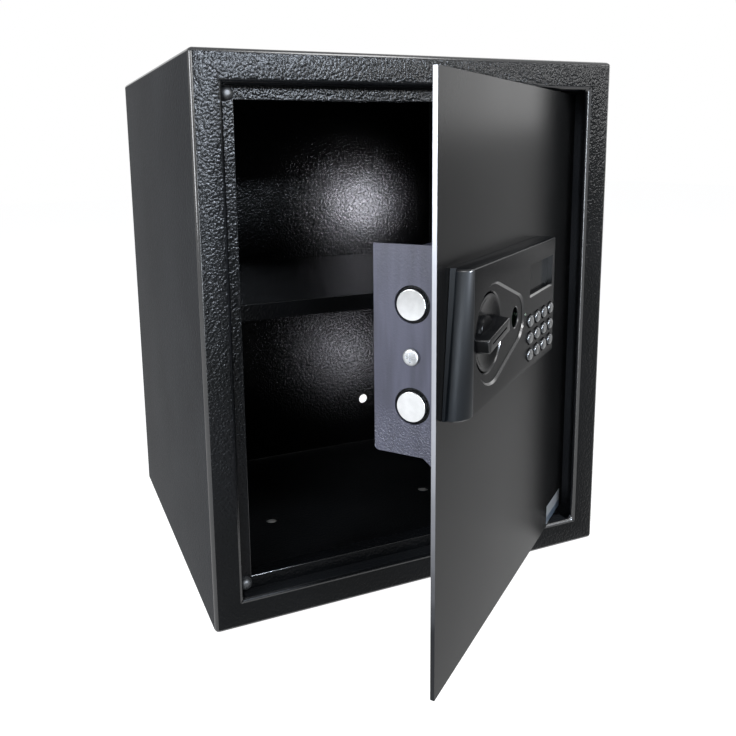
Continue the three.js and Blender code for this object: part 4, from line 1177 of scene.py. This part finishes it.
def make_bolts(finish):
    for name, z in (("upper", BOLT_UPPER_Z), ("lower", BOLT_LOWER_Z)):
        bolt = turned("bolt_pin_" + name, (0, BOLT_DEPTH, z), [
            (BOLT_RADIUS - 0.55, BOLT_TIP), (BOLT_RADIUS - 0.16, BOLT_TIP + 0.16),
            (BOLT_RADIUS, BOLT_TIP + 0.55), (BOLT_RADIUS, BOLT_END),
        ], 96, "x")
        even_shading(bolt)
        settle(bolt, ON_DOOR, "bolt_carriage", finish, ("locking_bolt_" + name,))


def cross_tool(centre, half, width, depth):
    """Cutter for a cross recess that is sunk along the x axis."""
    x, y, z = centre
    pieces = [
        cube("cross", x - PAST, x + depth, y - across, y + across, z - high, z + high)
        for across, high in ((half, width / 2), (width / 2, half))
    ]
    return combine(pieces[0], pieces[1], "UNION")


def make_guide_screw(finish):
    seat = HOUSING_LEFT - FIT
    tip = seat - GUIDE_SCREW_HEIGHT
    radius = GUIDE_SCREW_RADIUS
    centre = (0, GUIDE_SCREW_DEPTH, GUIDE_SCREW_Z)
    screw = turned("cross_screw", centre, [
        (radius * 0.7, tip), (radius * 0.86, tip + 0.22), (radius * 0.97, tip + 0.65), (radius, tip + 1.1),
        (radius, seat), (GUIDE_SCREW_SHANK, seat), (GUIDE_SCREW_SHANK, HOUSING_LEFT + GUIDE_SCREW_LENGTH),
    ], 64, "x")
    middle = (tip, GUIDE_SCREW_DEPTH, GUIDE_SCREW_Z)
    combine(screw, cross_tool(middle, CROSS_REACH, CROSS_WIDTH, CROSS_DEPTH))
    soften(screw, width=0.12, angle=50)
    settle(screw, ON_DOOR, "door", finish, ("guide_screw",))


def make_label(finish):
    """The blank label at the foot of the door, by the hinges."""
    label = cube("blank_label", LABEL_LEFT, LABEL_LEFT + LABEL_LENGTH, -LABEL_THICKNESS, 0, LABEL_LOW,
                 LABEL_LOW + LABEL_HEIGHT)
    settle(label, ON_DOOR, "door", finish)


# Pieces whose CAD shape is right

REFINED = (
    ("door_stop_frame", "cabinet", "powder_coat", "frame", 0.5),
    ("shelf", "shelf", "inner_coat", "inside", 0.4),
    ("shelf_rail_left", "cabinet", "inner_coat", "inside", 0.4),
    ("shelf_rail_right", "cabinet", "inner_coat", "inside", 0.4),
    ("hinge_bracket_upper", "cabinet", "powder_coat", "inside", 0.5),
    ("hinge_bracket_lower", "cabinet", "powder_coat", "inside", 0.5),
    ("hinge_arm_upper", "door", "powder_coat", "inside", 0.5),
    ("hinge_arm_lower", "door", "powder_coat", "inside", 0.5),
    ("door_plate", "door", "door_coat", "door", 0.9),
    ("bolt_housing", "door", "housing_coat", "cover", 0.5),
    ("battery_box", "door", "abs_black", "abs", 0.3),
    ("battery_cover", "battery_cover", "abs_black", "abs", 0.4),
)


def highlight_free_edge(finish):
    """Bright steel, with its painted highlight and shade, on the narrow face at the door's free edge."""
    door = bpy.data.objects["door_plate_finished"]
    steel_slot = len(door.data.materials)
    door.data.materials.append(finish)
    back = ON_DOOR.inverted()
    turn = back.to_3x3()
    for face in door.data.polygons:
        at_left = (back @ (face.center * 1000)).x < BOLT_TIP
        if at_left and (turn @ face.normal).x < -FACING:
            face.material_index = steel_slot


def finish_cad_nodes(finishes):
    """Materials for the CAD nodes that stay as they are."""
    groups = {
        "inside": ("back_panel",),
        "frame": ("bolt_guide",),
        "zinc": ("hinge_washer_upper", "hinge_washer_lower", "hinge_pin_upper", "hinge_pin_lower",
                 "bolt_carrier", "knob_shaft", "override_lever", "solenoid",
                 "housing_screw_1", "housing_screw_2", "housing_screw_3", "housing_screw_4"),
        "chrome": ("lock_cylinder", "solenoid_plunger"),
        "brass": ("cylinder_plug",),
        "window": ("display_window",),
        "lcd": ("display_module",),
        "board": ("keypad_board",),
        "cell": ("battery_cell_1", "battery_cell_2", "battery_cell_3", "battery_cell_4"),
        "red": ("code_button",),
        "cable": ("signal_cable",),
    }
    for finish, names in groups.items():
        for name in names:
            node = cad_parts[name]
            node.data.materials.clear()
            node.data.materials.append(finishes[finish])


place_camera()
light_scene()
lay_floor()

finishes = {
    "frame": textured_powder_coat(),
    "walls": walls_coat_painted_lighter(),
    "bends": bend_powder_coat(),
    "inside": interior_coat_painted_shade(),
    "door": satin_door_paint(),
    "cover": cover_coat_painted_light(),
    "edge_steel": edge_steel_painted_highlight(),
    "abs": moulded_abs(),
    "abs_nose": nose_abs(),
    "abs_edges": edge_abs(),
    "knob": polished_abs(),
    "chrome": bright_chrome(),
    "key": silver_key_plate(),
    "zinc": zinc_plate(),
    "brass": turned_brass(),
    "rubber": bumper_rubber(),
    "window": smoked_acrylic(),
    "lcd": display_glass(),
    "board": circuit_board(),
    "lamp": light_lens(),
    "cell": cell_jacket(),
    "red": red_plastic(),
    "cable": ribbon_sleeve(),
    "ink": key_ink(),
    "label": label_film(),
}

make_body(finishes)
make_bumpers(finishes["rubber"])
make_panel(finishes)
make_knob(finishes)
make_keys(finishes["key"], finishes["ink"])
make_light(finishes["lamp"])
make_bolts(finishes["chrome"])
make_guide_screw(finishes["zinc"])
make_label(finishes["label"])
for node, body, slot, finish, width in REFINED:
    bends = finishes["bends"] if finish in ("frame", "door") else None
    refined(node, body, finishes[finish], width, bends)
highlight_free_edge(finishes["edge_steel"])
finish_cad_nodes(finishes)
